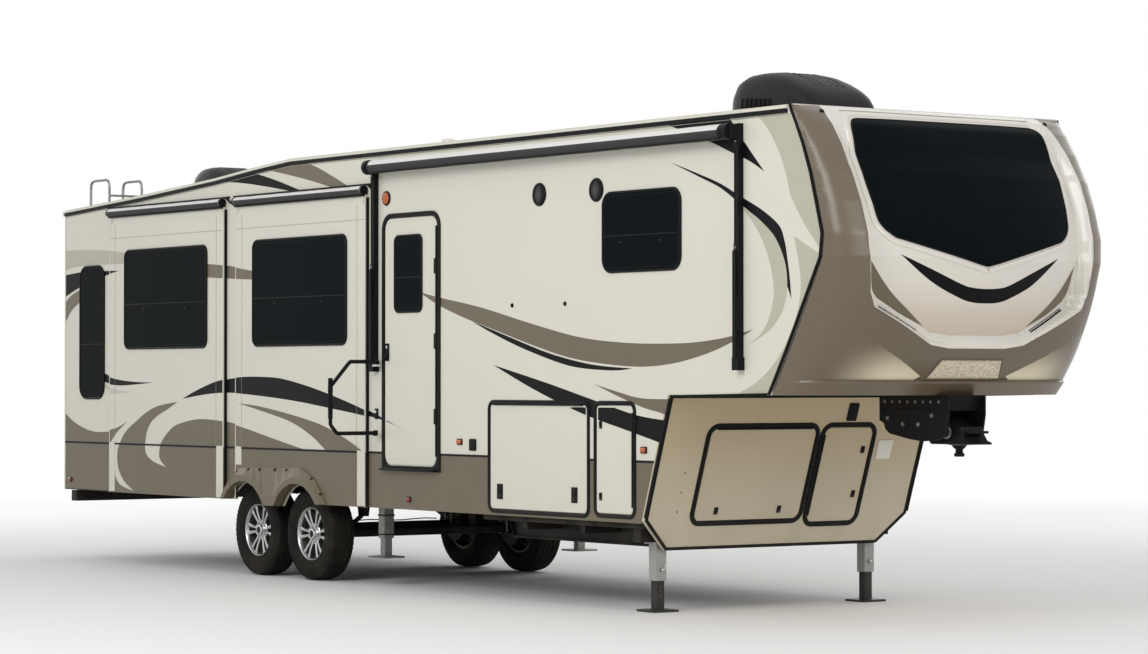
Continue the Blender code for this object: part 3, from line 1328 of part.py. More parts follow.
def build_running_gear():
    hang(dress(chassis(), "steel"))
    for number, x in enumerate(WHEEL_X, 1):
        stand(dress(axle(f"axle_{number}"), "steel", 35), (x, 0.0, AXLE_Z))
    for label, side in (("curb", -1), ("street", 1)):
        hang(dress(suspension(f"suspension_{label}", side), "steel"))
        for number, x in enumerate(WHEEL_X, 1):
            centre = (x, side * WHEEL_Y, AXLE_Z)
            stand(dress(tyre(f"tyre_{label}_{number}"), "rubber", 35), centre)
            stand(dress(rim(f"rim_{label}_{number}", side), "aluminium", 35), centre)
        stand_leg = leg(f"landing_leg_{label}", LEG_X, side * LEG_Y, LEG_TOP - GAP, GROUND, LEG_SLEEVE)
        hang(dress(stand_leg, "galvanised"))
        top = FLOOR_TOP - FLOOR_THICK - JACK_BAR - 2 * GAP
        jack = leg(f"levelling_jack_{label}", JACK_X, side * JACK_Y, top, JACK_BOTTOM, JACK_SLEEVE)
        hang(dress(jack, "galvanised"))


def build_fittings():
    for name, x0, x1, half, height in AIR_CONDITIONERS:
        hang(dress(roof_cover(name, x0, x1, half, height, COVER_ROWS, COVER_SLOPE), "charcoal"))
    for name, x0, x1, half, height in ROOF_VENTS:
        hang(dress(roof_cover(name, x0, x1, half, height, VENT_ROWS), "white"))
    hang(dress(rear_ladder(), "aluminium", 35))
    hang(dress(awning_roller(), "white", 35))
    hang(dress(awning_arm("awning_arm_rear", ARM_X[0], 1), "black"))
    hang(dress(awning_arm("awning_arm_front", ARM_X[1], -1), "black"))
    hang(dress(assist_handle(), "black", 35), (HANDLE_X, -(HALF_WIDTH + HANDLE_OUT), HANDLE_Z0))
    hang(dress(pin_box(), "steel"))
    hang(dress(pin_head(), "steel"))
    hang(dress(king_pin(), "steel", 35))


def stand_over_origin():
    """Move the trailer so that the middle of its box is over the world origin."""
    root = bpy.data.objects["trailer"]
    bpy.context.view_layer.update()
    corners = [piece.matrix_world @ Vector(corner) for piece in bpy.data.objects
               if piece.type == "MESH" for corner in piece.bound_box]
    for axis in (0, 1):
        low = min(corner[axis] for corner in corners)
        high = max(corner[axis] for corner in corners)
        root.location[axis] = -(low + high) / 2
    root.location.z = -GROUND


clear_scene()
make_root()
build_body()
build_slides()
build_running_gear()
build_fittings()
stand_over_origin()
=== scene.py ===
from bisect import bisect_right
from math import atan, ceil, cos, hypot, pi, radians, sin

import bmesh
import bpy
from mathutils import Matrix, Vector
from mathutils.geometry import delaunay_2d_cdt


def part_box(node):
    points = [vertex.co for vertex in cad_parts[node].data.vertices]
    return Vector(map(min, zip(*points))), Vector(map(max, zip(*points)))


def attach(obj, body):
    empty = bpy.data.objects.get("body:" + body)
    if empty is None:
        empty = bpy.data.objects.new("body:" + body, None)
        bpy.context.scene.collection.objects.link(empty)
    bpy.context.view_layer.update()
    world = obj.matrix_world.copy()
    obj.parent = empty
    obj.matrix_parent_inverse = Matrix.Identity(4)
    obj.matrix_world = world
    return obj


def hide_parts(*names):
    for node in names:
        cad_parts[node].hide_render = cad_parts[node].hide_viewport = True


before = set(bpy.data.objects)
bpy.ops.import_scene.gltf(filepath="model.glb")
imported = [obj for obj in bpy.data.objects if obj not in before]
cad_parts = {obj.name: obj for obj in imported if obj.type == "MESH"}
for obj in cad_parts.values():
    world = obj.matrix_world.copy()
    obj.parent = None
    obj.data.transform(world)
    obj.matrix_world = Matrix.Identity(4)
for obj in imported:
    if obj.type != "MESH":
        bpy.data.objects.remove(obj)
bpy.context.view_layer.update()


def mm(text):
    """Rows of metres from a text in millimetres: commas part the rows, blanks the values of a row."""
    return [tuple(float(value) / 1000 for value in row.split()) for row in text.split(",")]


# Places are given in the trailer's own measure: x from the rear wall, y from the middle, z from the ground
LAMP_STAND = 0.022
REAR_LOW, REAR_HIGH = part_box("rear_wall")
TRAILER = Vector((REAR_LOW.x + LAMP_STAND, (REAR_LOW.y + REAR_HIGH.y) / 2, 0.0))

# The photograph's camera
PHOTO_WIDTH, PHOTO_HEIGHT = 1148, 654
FOCAL_PIXELS = 3283.2
HORIZON_ROW = 379.74
CAMERA_PLACE = Vector((28.025, -15.076, 1.666))
CAMERA_TURN = 54.884
SENSOR = 36.0

# The body, as the CAD has it
HALF_WIDTH = 1.22
SKIRT_Z = 0.64
BELT = 1.083
DECK_Z = 1.56
ROOF_THICK = 0.045
ROOF_LINE = mm("0 3250, 1500 3325, 2900 3410, 3550 3465, 4200 3510, 10840 3510")
ROOM_OUT = 0.028
ROOM_TOP = 3.155
NOSE_X = 9.19
NOSE_LEAN = 0.348
CAP_ROWS = mm("1560 10610 11120, 1645 10664 11215, 1660 10674 11190, 1800 10760 11300, 1880 10810 11350, "
              "2020 10893 11415, 2150 10967 11466, 2300 11055 11495, 2480 11160 11505, 2640 11180 11490, "
              "2850 11120 11430, 3050 11060 11340, 3250 10980 11200, 3390 10910 11070, 3480 10860 10950, "
              "3520 10841 10860")
CAP_ROUND = 3.2
FIELD = ((0.0, 1.877), (0.205, 1.877), (0.344, 1.90), (0.770, 2.15), (0.807, 2.25), (0.836, 2.55),
         (0.852, 3.10), (0.828, 3.44))
FIELD_ROUND, FIELD_BACK, FIELD_STEP, FIELD_TOP, FIELD_BROW = 1.8, 0.045, 0.06, 3.42, 0.25
AXLE_Z = 0.385
WHEEL_X = (3.5155, 4.4005)
WHEEL_Y = 1.045
TYRE_RADIUS = 0.385
RIM_HALF, RIM_FACE = 0.0925, 0.062
AWNING_Y, AWNING_Z, AWNING_RADIUS = -1.315, 3.365, 0.055
UP, ALONG = (0, 0, 1), (1, 0, 0)

# Small measures that come back
VINYL = 0.0008
PANE_FACE = 0.0095
HINGE_OUT, HINGE_RADIUS = 0.009, 0.0098
CAP_FOOT, CAP_HEAD, CAP_EDGE = 1.5602, 3.5198, 1.2199

# Colours, as they look in the photograph

def linear(r, g, b):
    """Colour of a shader socket from 8-bit screen values."""
    channels = [c / 255 for c in (r, g, b)]
    return (*[c / 12.92 if c <= 0.04045 else ((c + 0.055) / 1.055) ** 2.4 for c in channels], 1.0)


CREAM = linear(217, 214, 201)
TAUPE = linear(107, 98, 80)
SAGE = linear(181, 179, 161)
GREY = linear(196, 194, 180)
BLACK = linear(14, 14, 17)
TRIM = linear(19, 20, 22)
# Nearly black glass: its own tint with the painted shade of the unlit inside behind it.
GLASS = linear(11, 17, 20)
CAP_WHITE = linear(218, 213, 203)
CAP_TAUPE = linear(100, 88, 70)
NOSE_TAN = linear(176, 161, 136)
MEMBRANE = linear(214, 211, 203)
SHROUD = linear(25, 24, 27)
STEEL = linear(20, 21, 23)
ZINC = linear(150, 150, 148)
DUST = linear(150, 138, 118)
SEAM = linear(150, 146, 134)


# Camera, light and floor

def make_camera():
    data = bpy.data.cameras.new("camera")
    data.sensor_width = SENSOR
    data.lens = FOCAL_PIXELS / PHOTO_WIDTH * SENSOR
    data.clip_end = 300.0
    camera = bpy.data.objects.new("camera", data)
    bpy.context.scene.collection.objects.link(camera)
    camera.location = TRAILER + CAMERA_PLACE
    pitch = atan((HORIZON_ROW - PHOTO_HEIGHT / 2) / FOCAL_PIXELS)
    camera.rotation_euler = (pi / 2 + pitch, 0.0, radians(CAMERA_TURN))
    bpy.context.scene.camera = camera


def put(tree, socket, value):
    """A value is set, a socket is linked."""
    if isinstance(value, bpy.types.NodeSocket):
        tree.links.new(value, socket)
    else:
        socket.default_value = value


def add(tree, kind, inputs=None, **settings):
    """Node with its settings and inputs."""
    node = tree.nodes.new(kind)
    for name, value in settings.items():
        setattr(node, name, value)
    for key, value in (inputs or {}).items():
        put(tree, node.inputs[key], value)
    return node


def maths(tree, operation, *values):
    return add(tree, "ShaderNodeMath", dict(enumerate(values)), operation=operation).outputs[0]


def ranged(tree, value, low, high, to_low=0.0, to_high=1.0, kind="LINEAR"):
    ends = {"Value": value, "From Min": low, "From Max": high, "To Min": to_low, "To Max": to_high}
    return add(tree, "ShaderNodeMapRange", ends, interpolation_type=kind).outputs[0]


def make_sky(ambient):
    """Even pale light, with white behind the trailer and in what its gloss and glass show."""
    world = bpy.data.worlds.new("studio")
    bpy.context.scene.world = world
    world.use_nodes = True
    tree = world.node_tree
    tree.nodes.clear()
    ray = add(tree, "ShaderNodeLightPath").outputs
    seen = maths(tree, "MAXIMUM", ray["Is Camera Ray"], ray["Is Glossy Ray"])
    clear = maths(tree, "MAXIMUM", seen, ray["Is Transmission Ray"])
    light = add(tree, "ShaderNodeBackground", {"Color": (1.0, 1.0, 1.0, 1.0), "Strength": ambient})
    white = add(tree, "ShaderNodeBackground", {"Color": (1.0, 1.0, 1.0, 1.0)})
    mix = add(tree, "ShaderNodeMixShader", {0: clear, 1: light.outputs[0], 2: white.outputs[0]})
    add(tree, "ShaderNodeOutputWorld", {0: mix.outputs[0]})


def make_lamp(name, place, target, size, power):
    data = bpy.data.lights.new(name, "AREA")
    data.shape = "RECTANGLE"
    data.size, data.size_y = size
    data.energy = power
    lamp = bpy.data.objects.new(name, data)
    bpy.context.scene.collection.objects.link(lamp)
    lamp.location = TRAILER + Vector(place)
    lamp.rotation_euler = (Vector(target) - Vector(place)).to_track_quat("-Z", "Y").to_euler()


def make_lights():
    make_sky(0.62)
    middle = (5.5, 0.0, 1.8)
    make_lamp("curb_softbox", (12.0, -14.0, 9.0), middle, (9.0, 6.0), 820.0)
    make_lamp("front_softbox", (24.0, -2.0, 6.5), (9.5, 0.0, 2.2), (7.0, 5.0), 420.0)
    make_lamp("street_softbox", (2.0, 15.0, 9.0), middle, (9.0, 6.0), 420.0)
    make_lamp("rear_softbox", (-13.0, 1.0, 7.0), middle, (7.0, 5.0), 420.0)


def make_floor():
    """Pale disc that keeps the trailer's shadow and fades to white away from it."""
    bm = bmesh.new()
    bmesh.ops.create_circle(bm, cap_ends=True, segments=96, radius=60.0)
    mesh = bpy.data.meshes.new("floor")
    bm.to_mesh(mesh)
    bm.free()
    floor = bpy.data.objects.new("floor", mesh)
    bpy.context.scene.collection.objects.link(floor)
    floor.location = (0.0, 0.0, -0.002)
    made = bpy.data.materials.new("pale_floor")
    made.use_nodes = True
    tree = made.node_tree
    shader = tree.nodes["Principled BSDF"]
    shader.inputs["Base Color"].default_value = (0.86, 0.86, 0.855, 1.0)
    shader.inputs["Roughness"].default_value = 0.9
    shader.inputs["Specular IOR Level"].default_value = 0.1
    where = add(tree, "ShaderNodeTexCoord")
    far = add(tree, "ShaderNodeVectorMath", {0: where.outputs["Object"]}, operation="LENGTH")
    fade = ranged(tree, far.outputs["Value"], 7.0, 22.0, kind="SMOOTHSTEP")
    share = maths(tree, "MULTIPLY", fade, add(tree, "ShaderNodeLightPath").outputs["Is Camera Ray"])
    white = add(tree, "ShaderNodeEmission")
    mix = add(tree, "ShaderNodeMixShader", {0: share, 1: shader.outputs[0], 2: white.outputs[0]})
    tree.links.new(mix.outputs[0], tree.nodes["Material Output"].inputs["Surface"])
    mesh.materials.append(made)


# Shared shader groups: they give colours, masks, values and heights only

FLOAT, COLOUR, VECTOR = "NodeSocketFloat", "NodeSocketColor", "NodeSocketVector"


def make_group(name, inputs, outputs):
    """New group: its tree, the sockets inside that bring its inputs, and those that take its outputs.

    Every group takes coordinates besides the inputs named."""
    tree = bpy.data.node_groups.new(name, "ShaderNodeTree")
    for label, kind, value in (("Coordinates", VECTOR, None), *inputs):
        socket = tree.interface.new_socket(label, in_out="INPUT", socket_type=kind)
        if value is not None:
            socket.default_value = value
    for label, kind in outputs:
        tree.interface.new_socket(label, in_out="OUTPUT", socket_type=kind)
    return tree, add(tree, "NodeGroupInput").outputs, add(tree, "NodeGroupOutput").inputs


def noise(tree, coordinates, scale, detail):
    return add(tree, "ShaderNodeTexNoise", {"Vector": coordinates, "Scale": scale,
            "Detail": detail}).outputs[0]


def blended(tree, share, a, b):
    mix = add(tree, "ShaderNodeMix", data_type="RGBA")
    for key, value in ((0, share), (6, a), (7, b)):
        put(tree, mix.inputs[key], value)
    return mix.outputs[2]


def part(tree, coordinates, axis):
    return add(tree, "ShaderNodeSeparateXYZ", {0: coordinates}).outputs[axis]


def off_middle(tree, given):
    """Distance from the trailer's middle plane."""
    return maths(tree, "ABSOLUTE", maths(tree, "SUBTRACT", part(tree, given["Coordinates"], "Y"),
            given["Middle"]))


def tone_group():
    """Colour that drifts a little lighter and darker over the surface."""
    tree, given, result = make_group(
        "tone", (("Color", COLOUR, None), ("Scale", FLOAT, 2.0), ("Amount", FLOAT, 0.1)),
        (("Color", COLOUR),))
    broad = noise(tree, given["Coordinates"], given["Scale"], 4.0)
    fine = noise(tree, given["Coordinates"], 90.0, 2.0)
    drift = maths(tree, "MULTIPLY_ADD", broad, 0.75, maths(tree, "MULTIPLY", fine, 0.25))
    gain = maths(tree, "MULTIPLY_ADD", maths(tree, "SUBTRACT", drift, 0.5), given["Amount"], 1.0)
    scaled = add(tree, "ShaderNodeVectorMath", {0: given["Color"], "Scale": gain},
                 operation="SCALE").outputs[0]
    tree.links.new(scaled, result["Color"])
    return tree


def dust_group():
    """Road dust that thickens towards the ground and in patches."""
    tree, given, result = make_group(
        "road_dust", (("Color", COLOUR, None), ("Dust", COLOUR, DUST), ("Height", FLOAT, 1.3),
                      ("Amount", FLOAT, 0.2)), (("Color", COLOUR), ("Mask", FLOAT)))
    low = ranged(tree, part(tree, given["Coordinates"], "Z"), given["Height"], 0.1, kind="SMOOTHSTEP")
    patches = ranged(tree, noise(tree, given["Coordinates"], 5.0, 5.0), 0.3, 0.75)
    mask = maths(tree, "MULTIPLY", maths(tree, "MULTIPLY", low, patches), given["Amount"])
    tree.links.new(blended(tree, mask, given["Color"], given["Dust"]), result["Color"])
    tree.links.new(mask, result["Mask"])
    return tree


def wear_group():
    """Bare or scuffed colour along edges, found by rounding the normal over a small radius."""
    tree, given, result = make_group(
        "edge_wear", (("Color", COLOUR, None), ("Worn", COLOUR, None), ("Amount", FLOAT, 0.5)),
        (("Color", COLOUR), ("Mask", FLOAT)))
    round_normal = add(tree, "ShaderNodeBevel", {"Radius": 0.006}, samples=4).outputs[0]
    flat = add(tree, "ShaderNodeNewGeometry").outputs["Normal"]
    facing = add(tree, "ShaderNodeVectorMath", {0: round_normal, 1: flat},
                 operation="DOT_PRODUCT").outputs["Value"]
    edge = ranged(tree, facing, 0.99, 0.80)
    chips = ranged(tree, noise(tree, given["Coordinates"], 40.0, 4.0), 0.42, 0.62)
    mask = maths(tree, "MULTIPLY", maths(tree, "MULTIPLY", edge, chips), given["Amount"])
    tree.links.new(blended(tree, mask, given["Color"], given["Worn"]), result["Color"])
    tree.links.new(mask, result["Mask"])
    return tree


def spread_group():
    """Roughness that varies with handling and wash marks."""
    tree, given, result = make_group(
        "roughness_spread", (("Roughness", FLOAT, 0.3), ("Spread", FLOAT, 0.1), ("Scale", FLOAT, 6.0)),
        (("Roughness", FLOAT),))
    centred = maths(tree, "SUBTRACT", noise(tree, given["Coordinates"], given["Scale"], 5.0), 0.5)
    tree.links.new(maths(tree, "MULTIPLY_ADD", centred, given["Spread"], given["Roughness"]),
                   result["Roughness"])
    return tree


def stretched(tree, coordinates, by):
    return add(tree, "ShaderNodeVectorMath", {0: coordinates, 1: by}, operation="MULTIPLY").outputs[0]


def peel_group():
    """Orange peel and fine grain as a height, stretched along x where the surface is brushed."""
    tree, given, result = make_group(
        "surface_grain", (("Scale", FLOAT, 120.0), ("Stretch", VECTOR, (1.0, 1.0, 1.0)),
                          ("Waves", FLOAT, 0.4)),
        (("Height", FLOAT),))
    fine = noise(tree, stretched(tree, given["Coordinates"], given["Stretch"]), given["Scale"], 3.0)
    broad = maths(tree, "MULTIPLY", noise(tree, given["Coordinates"], 1.6, 2.0), given["Waves"])
    tree.links.new(maths(tree, "ADD", fine, broad), result["Height"])
    return tree


def split_group():
    """Lower colour under the belt line on the outer skin, upper colour elsewhere."""
    tree, given, result = make_group(
        "belt_split", (("Upper", COLOUR, CREAM), ("Lower", COLOUR, TAUPE), ("Belt", FLOAT, BELT),
                       ("Middle", FLOAT, 0.0), ("Reach", FLOAT, 1.2)), (("Color", COLOUR),))
    under = maths(tree, "LESS_THAN", part(tree, given["Coordinates"], "Z"), given["Belt"])
    outer = maths(tree, "GREATER_THAN", off_middle(tree, given), given["Reach"])
    share = maths(tree, "MULTIPLY", under, outer)
    tree.links.new(blended(tree, share, given["Upper"], given["Lower"]), result["Color"])
    return tree


def rise_group():
    """One colour below, another above, with a soft passage between two heights."""
    tree, given, result = make_group(
        "height_blend", (("Below", COLOUR, None), ("Above", COLOUR, None), ("Low", FLOAT, 0.0),
                         ("High", FLOAT, 1.0)),
        (("Color", COLOUR),))
    share = ranged(tree, part(tree, given["Coordinates"], "Z"), given["Low"], given["High"],
                   kind="SMOOTHSTEP")
    tree.links.new(blended(tree, share, given["Below"], given["Above"]), result["Color"])
    return tree


def middle_group():
    """One colour near the trailer's middle, another towards its sides."""
    tree, given, result = make_group(
        "middle_blend", (("Inside", COLOUR, None), ("Outside", COLOUR, None), ("Middle", FLOAT, 0.0),
                         ("Near", FLOAT, 0.62), ("Far", FLOAT, 1.12)), (("Color", COLOUR),))
    share = ranged(tree, off_middle(tree, given), given["Near"], given["Far"], kind="SMOOTHSTEP")
    tree.links.new(blended(tree, share, given["Inside"], given["Outside"]), result["Color"])
    return tree


def weave_group():
    """Fine crossing threads: height and a share for their colour."""
    tree, given, result = make_group("weave", (("Scale", FLOAT, 400.0),),
            (("Height", FLOAT), ("Share", FLOAT)))
    threads = {"Vector": given["Coordinates"], "Scale": given["Scale"]}
    both = maths(tree, "MAXIMUM", *(add(tree, "ShaderNodeTexWave", threads, bands_direction=way).outputs[1]
                                    for way in "XZ"))
    tree.links.new(both, result["Height"])
    tree.links.new(ranged(tree, both, 0.0, 1.0, 0.1, 0.0), result["Share"])
    return tree


def ply_group():
    """Plywood face: long grain lines and darker growth bands."""
    tree, given, result = make_group("plywood", (("Pale", COLOUR, None), ("Dark", COLOUR, None)),
                                     (("Color", COLOUR), ("Height", FLOAT)))
    shaped = stretched(tree, given["Coordinates"], (1.0, 14.0, 14.0))
    grain = noise(tree, shaped, 6.0, 6.0)
    bands = add(tree, "ShaderNodeTexWave", {"Vector": shaped, "Scale": 0.35, "Distortion": 6.0,
            "Detail": 2.0},
                bands_direction="Y").outputs[1]
    share = maths(tree, "MULTIPLY", ranged(tree, grain, 0.3, 0.7), bands)
    tree.links.new(blended(tree, share, given["Pale"], given["Dark"]), result["Color"])
    tree.links.new(grain, result["Height"])
    return tree


GROUPS = {tree.name: tree for tree in (make() for make in (
    tone_group, dust_group, wear_group, spread_group, peel_group, split_group, rise_group, middle_group,
    weave_group, ply_group))}


def grouped(tree, name, **inputs):
    node = add(tree, "ShaderNodeGroup", node_tree=GROUPS[name])
    for key, value in inputs.items():
        put(tree, node.inputs[key.replace("_", " ")], value)
    return node.outputs


def finish(name, colour, roughness, spread=0.08, drift=0.08, scale=1.5, dust=0.12, grain=120.0,
           depth=0.0004, stretch=(1.0, 1.0, 1.0), waves=0.4, worn=None, wear=0.5, pattern=None, **fixed):
    """Material with drifting colour, dust near the ground, uneven roughness and a grained surface.

    pattern builds the colour from the tree and its coordinates; fixed holds values of the shader itself."""
    made = bpy.data.materials.new(name)
    made.use_nodes = True
    tree = made.node_tree
    shader = tree.nodes["Principled BSDF"]
    where = add(tree, "ShaderNodeTexCoord").outputs["Object"]
    base = pattern(tree, where) if pattern else colour
    tinted = grouped(tree, "tone", Coordinates=where, Color=base, Scale=scale, Amount=drift)["Color"]
    dusted = grouped(tree, "road_dust", Coordinates=where, Color=tinted, Amount=dust)["Color"]
    if worn:
        dusted = grouped(tree, "edge_wear", Coordinates=where, Color=dusted, Worn=worn,
                         Amount=wear)["Color"]
    rough = grouped(tree, "roughness_spread", Coordinates=where, Roughness=roughness,
                    Spread=spread)["Roughness"]
    height = grouped(tree, "surface_grain", Coordinates=where, Scale=grain, Stretch=stretch,
                     Waves=waves)["Height"]
    bump = add(tree, "ShaderNodeBump", {"Height": height, "Distance": depth, "Strength": 0.5})
    tree.links.new(dusted, shader.inputs["Base Color"])
    tree.links.new(rough, shader.inputs["Roughness"])
    tree.links.new(bump.outputs[0], shader.inputs["Normal"])
    for key, value in fixed.items():
        shader.inputs[key.replace("_", " ")].default_value = value
    return made


def belted(tree, where):
    return grouped(tree, "belt_split", Coordinates=where, Middle=TRAILER.y)["Color"]


# Champagne of the nose wall, darker towards the top: the darkening is a painted shadow of the overhanging
# cap.
def nose_shadow_pattern(tree, where):
    return grouped(tree, "height_blend", Coordinates=where, Below=linear(200, 191, 168),
                   Above=linear(186, 168, 132), Low=0.55, High=1.62)["Color"]


def field_pattern(tree, where):
    return grouped(tree, "height_blend", Coordinates=where, Below=linear(196, 180, 161), Above=CAP_WHITE,
                   Low=1.87, High=2.42)["Color"]


# Taupe of the cap's lower facets, with pale gold low down near the middle: the pale gold is a painted
# reflection of the bright surroundings on the tilted facet.
def facet_pattern(tree, where):
    painted_reflection = grouped(tree, "height_blend", Coordinates=where, Below=linear(218, 208, 178),
                   Above=linear(106, 93, 72), Low=1.67, High=1.93)["Color"]
    return grouped(tree, "middle_blend", Coordinates=where, Inside=painted_reflection, Outside=CAP_TAUPE,
                   Middle=TRAILER.y)["Color"]


def plate_pattern(tree, where):
    spots = ranged(tree, noise(tree, where, 55.0, 6.0), 0.42, 0.58)
    return blended(tree, spots, linear(219, 209, 186), linear(190, 178, 152))


def wood_pattern(tree, where):
    return grouped(tree, "plywood", Coordinates=where, Pale=linear(196, 164, 118),
                   Dark=linear(150, 112, 70))["Color"]


def cloth_pattern(tree, where):
    threads = grouped(tree, "weave", Coordinates=where)["Share"]
    return blended(tree, threads, linear(225, 224, 220), linear(150, 150, 150))


def zinc_pattern(tree, where):
    flakes = add(tree, "ShaderNodeTexVoronoi", {"Vector": where, "Scale": 60.0}).outputs["Color"]
    grey = add(tree, "ShaderNodeSeparateColor", {0: flakes}).outputs[0]
    return blended(tree, grey, ZINC, linear(116, 117, 118))


def leg_pattern(tree, where):
    """Zinc sleeve over a black inner tube and foot."""
    above = maths(tree, "GREATER_THAN", part(tree, where, "Z"), 0.2215)
    return blended(tree, above, linear(24, 24, 25), linear(158, 158, 156))


GEL = dict(Coat_Weight=0.10, Coat_Roughness=0.15, Specular_IOR_Level=0.3)
DULL = dict(Specular_IOR_Level=0.10)
FINISH = {
    "wall": finish("gelcoat_wall", CREAM, 0.30, drift=0.05, dust=0.22, pattern=belted, **GEL),
    "cream": finish("gelcoat_cream", CREAM, 0.30, drift=0.05, dust=0.15, **GEL),
    "taupe": finish("gelcoat_taupe", TAUPE, 0.30, drift=0.07, dust=0.25, **GEL),
    "sage": finish("vinyl_sage", SAGE, 0.34, drift=0.05),
    "grey": finish("vinyl_grey", GREY, 0.34, drift=0.05),
    "black": finish("vinyl_black", BLACK, 0.42, drift=0.12, **DULL),
    "seam": finish("panel_seam", SEAM, 0.6, drift=0.2),
    "shoulder": finish("cap_shoulder", CAP_TAUPE, 0.34, drift=0.06, scale=0.9, Coat_Weight=0.3,
                       Coat_Roughness=0.28),
    "white": finish("cap_white", CAP_WHITE, 0.25, drift=0.03, Coat_Weight=0.4, Coat_Roughness=0.12),
    "field": finish("cap_field", CAP_WHITE, 0.25, drift=0.03, pattern=field_pattern, Coat_Weight=0.4,
                    Coat_Roughness=0.12),
    # Lower facets: taupe with a painted reflection in pale gold low down near the middle.
    "facet": finish("cap_facet", CAP_TAUPE, 0.2, drift=0.1, pattern=facet_pattern, Coat_Weight=0.3,
                    Coat_Roughness=0.2),
    "plate": finish("plate_recess", CREAM, 0.5, drift=0.15, grain=240.0, depth=0.001,
                    pattern=plate_pattern),
    # Nose wall: its champagne with a painted shadow of the cap towards the top.
    "nose": finish("nose_champagne", NOSE_TAN, 0.24, drift=0.06, dust=0.3, pattern=nose_shadow_pattern,
                   Coat_Weight=0.3, Coat_Roughness=0.2),
    "trim": finish("black_trim", TRIM, 0.42, spread=0.2, drift=0.25, dust=0.12, grain=350.0, depth=0.0006,
                   worn=linear(70, 70, 70), wear=0.3, **DULL),
    "rubber": finish("tyre_rubber", linear(24, 24, 24), 0.8, spread=0.2, drift=0.4, dust=0.10, grain=260.0,
                     depth=0.0012, worn=linear(52, 51, 48), wear=0.4, **DULL),
    "seal": finish("bulb_seal", linear(17, 17, 18), 0.6, spread=0.15, drift=0.2, grain=300.0, **DULL),
    # Window glass: its tint with painted shade of the unlit inside, as nothing shows through it.
    "glass": finish("tinted_glass_and_painted_shade", GLASS, 0.05, spread=0.04, drift=0.5, dust=0.03, grain=2.0, depth=0.002,
                    Specular_IOR_Level=0.02),
    "roof": finish("roof_membrane", MEMBRANE, 0.72, drift=0.14, scale=3.0, grain=300.0, depth=0.0012,
                   waves=2.0),
    "sealant": finish("lap_sealant", linear(196, 194, 186), 0.55, drift=0.2, grain=60.0, depth=0.003),
    "steel": finish("chassis_paint", STEEL, 0.45, spread=0.25, drift=0.35, dust=0.16, grain=180.0,
                    depth=0.001, worn=linear(80, 70, 60), wear=0.5, **DULL),
    "zinc": finish("zinc_steel", ZINC, 0.42, spread=0.25, drift=0.2, dust=0.3, pattern=zinc_pattern,
                   worn=linear(108, 92, 76), wear=0.6, Metallic=0.8),
    "alloy": finish("alloy", linear(190, 191, 193), 0.24, spread=0.14, drift=0.08, dust=0.25, grain=70.0,
                    depth=0.0004, stretch=(1.0, 1.0, 18.0), worn=linear(120, 120, 120), wear=0.4,
                    Metallic=1.0),
    # Dark grey of the brake drums, the pipe under the floor and the small locks, and painted shade inside
    # the rim barrels, on the sides of the spokes, in the hollows between spokes and in the holes of the
    # legs.
    "pocket": finish("rim_pocket", linear(38, 39, 41), 0.5, spread=0.2, drift=0.3, dust=0.4, Metallic=0.4),
    "chrome": finish("bright_metal", linear(214, 214, 214), 0.12, spread=0.1, drift=0.05, grain=40.0,
                     depth=0.0002, Metallic=1.0),
    "shroud": finish("shroud_plastic", SHROUD, 0.5, spread=0.15, drift=0.15, grain=420.0, depth=0.001,
                     worn=linear(82, 80, 82), wear=0.2, Specular_IOR_Level=0.2),
    "cloth": finish("awning_cloth", CREAM, 0.8, drift=0.08, grain=500.0, depth=0.0008,
                    pattern=cloth_pattern),
    "wood": finish("plywood_floor", CREAM, 0.7, drift=0.15, grain=40.0, depth=0.001,
                   stretch=(1.0, 10.0, 10.0), pattern=wood_pattern),
    "red": finish("lens_red", linear(132, 16, 14), 0.2, drift=0.3, Coat_Weight=0.6),
    "amber": finish("lens_amber", linear(178, 82, 16), 0.2, drift=0.3, Coat_Weight=0.6),
    "lens": finish("lens_clear", linear(214, 216, 214), 0.1, drift=0.1, Coat_Weight=0.6),
    "plastic": finish("white_plastic", linear(224, 222, 214), 0.38, drift=0.08, grain=260.0, depth=0.0005),
    # Dark cover of the rolled awning and toppers, which also carries the painted shade on their undersides.
    "shade": finish("awning_cover_and_painted_shade", linear(46, 46, 48), 0.5, drift=0.15, grain=300.0,
                    Specular_IOR_Level=0.3),
    "belly": finish("underbelly_sheet", linear(22, 22, 23), 0.7, drift=0.3, dust=0.3, grain=90.0,
                    depth=0.002, **DULL),
    "leg": finish("leg_tubes", ZINC, 0.42, spread=0.25, drift=0.2, dust=0.1, pattern=leg_pattern,
                  worn=linear(96, 88, 78), wear=0.4, Metallic=0.3),
    "mesh": finish("speaker_mesh", linear(58, 58, 60), 0.6, drift=0.4, grain=700.0, depth=0.002),
}


def finish_of(node):
    """Finish of a CAD node from its name."""
    table = (("window", "glass"), ("tyre", "rubber"), ("rim", "alloy"), ("ladder", "zinc"),
             ("roof_vent", "plastic"), ("roof", "roof"), ("cap", "white"), ("nose", "nose"),
             ("baggage", "cream"), ("chassis", "steel"), ("axle", "steel"), ("suspension", "steel"),
             ("pin", "steel"), ("main_floor", "belly"), ("floor", "wood"), ("arm", "trim"),
             ("handle", "trim"), ("leg", "leg"), ("jack", "zinc"), ("air", "shroud"), ("roller", "cloth"),
             ("entry_door", "cream"))
    for word, name in table:
        if word in node:
            return FINISH[name]
    return FINISH["wall"]


def dress_nodes():
    for name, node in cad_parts.items():
        node.data.materials.clear()
        node.data.materials.append(finish_of(name))


# Outlines and paths

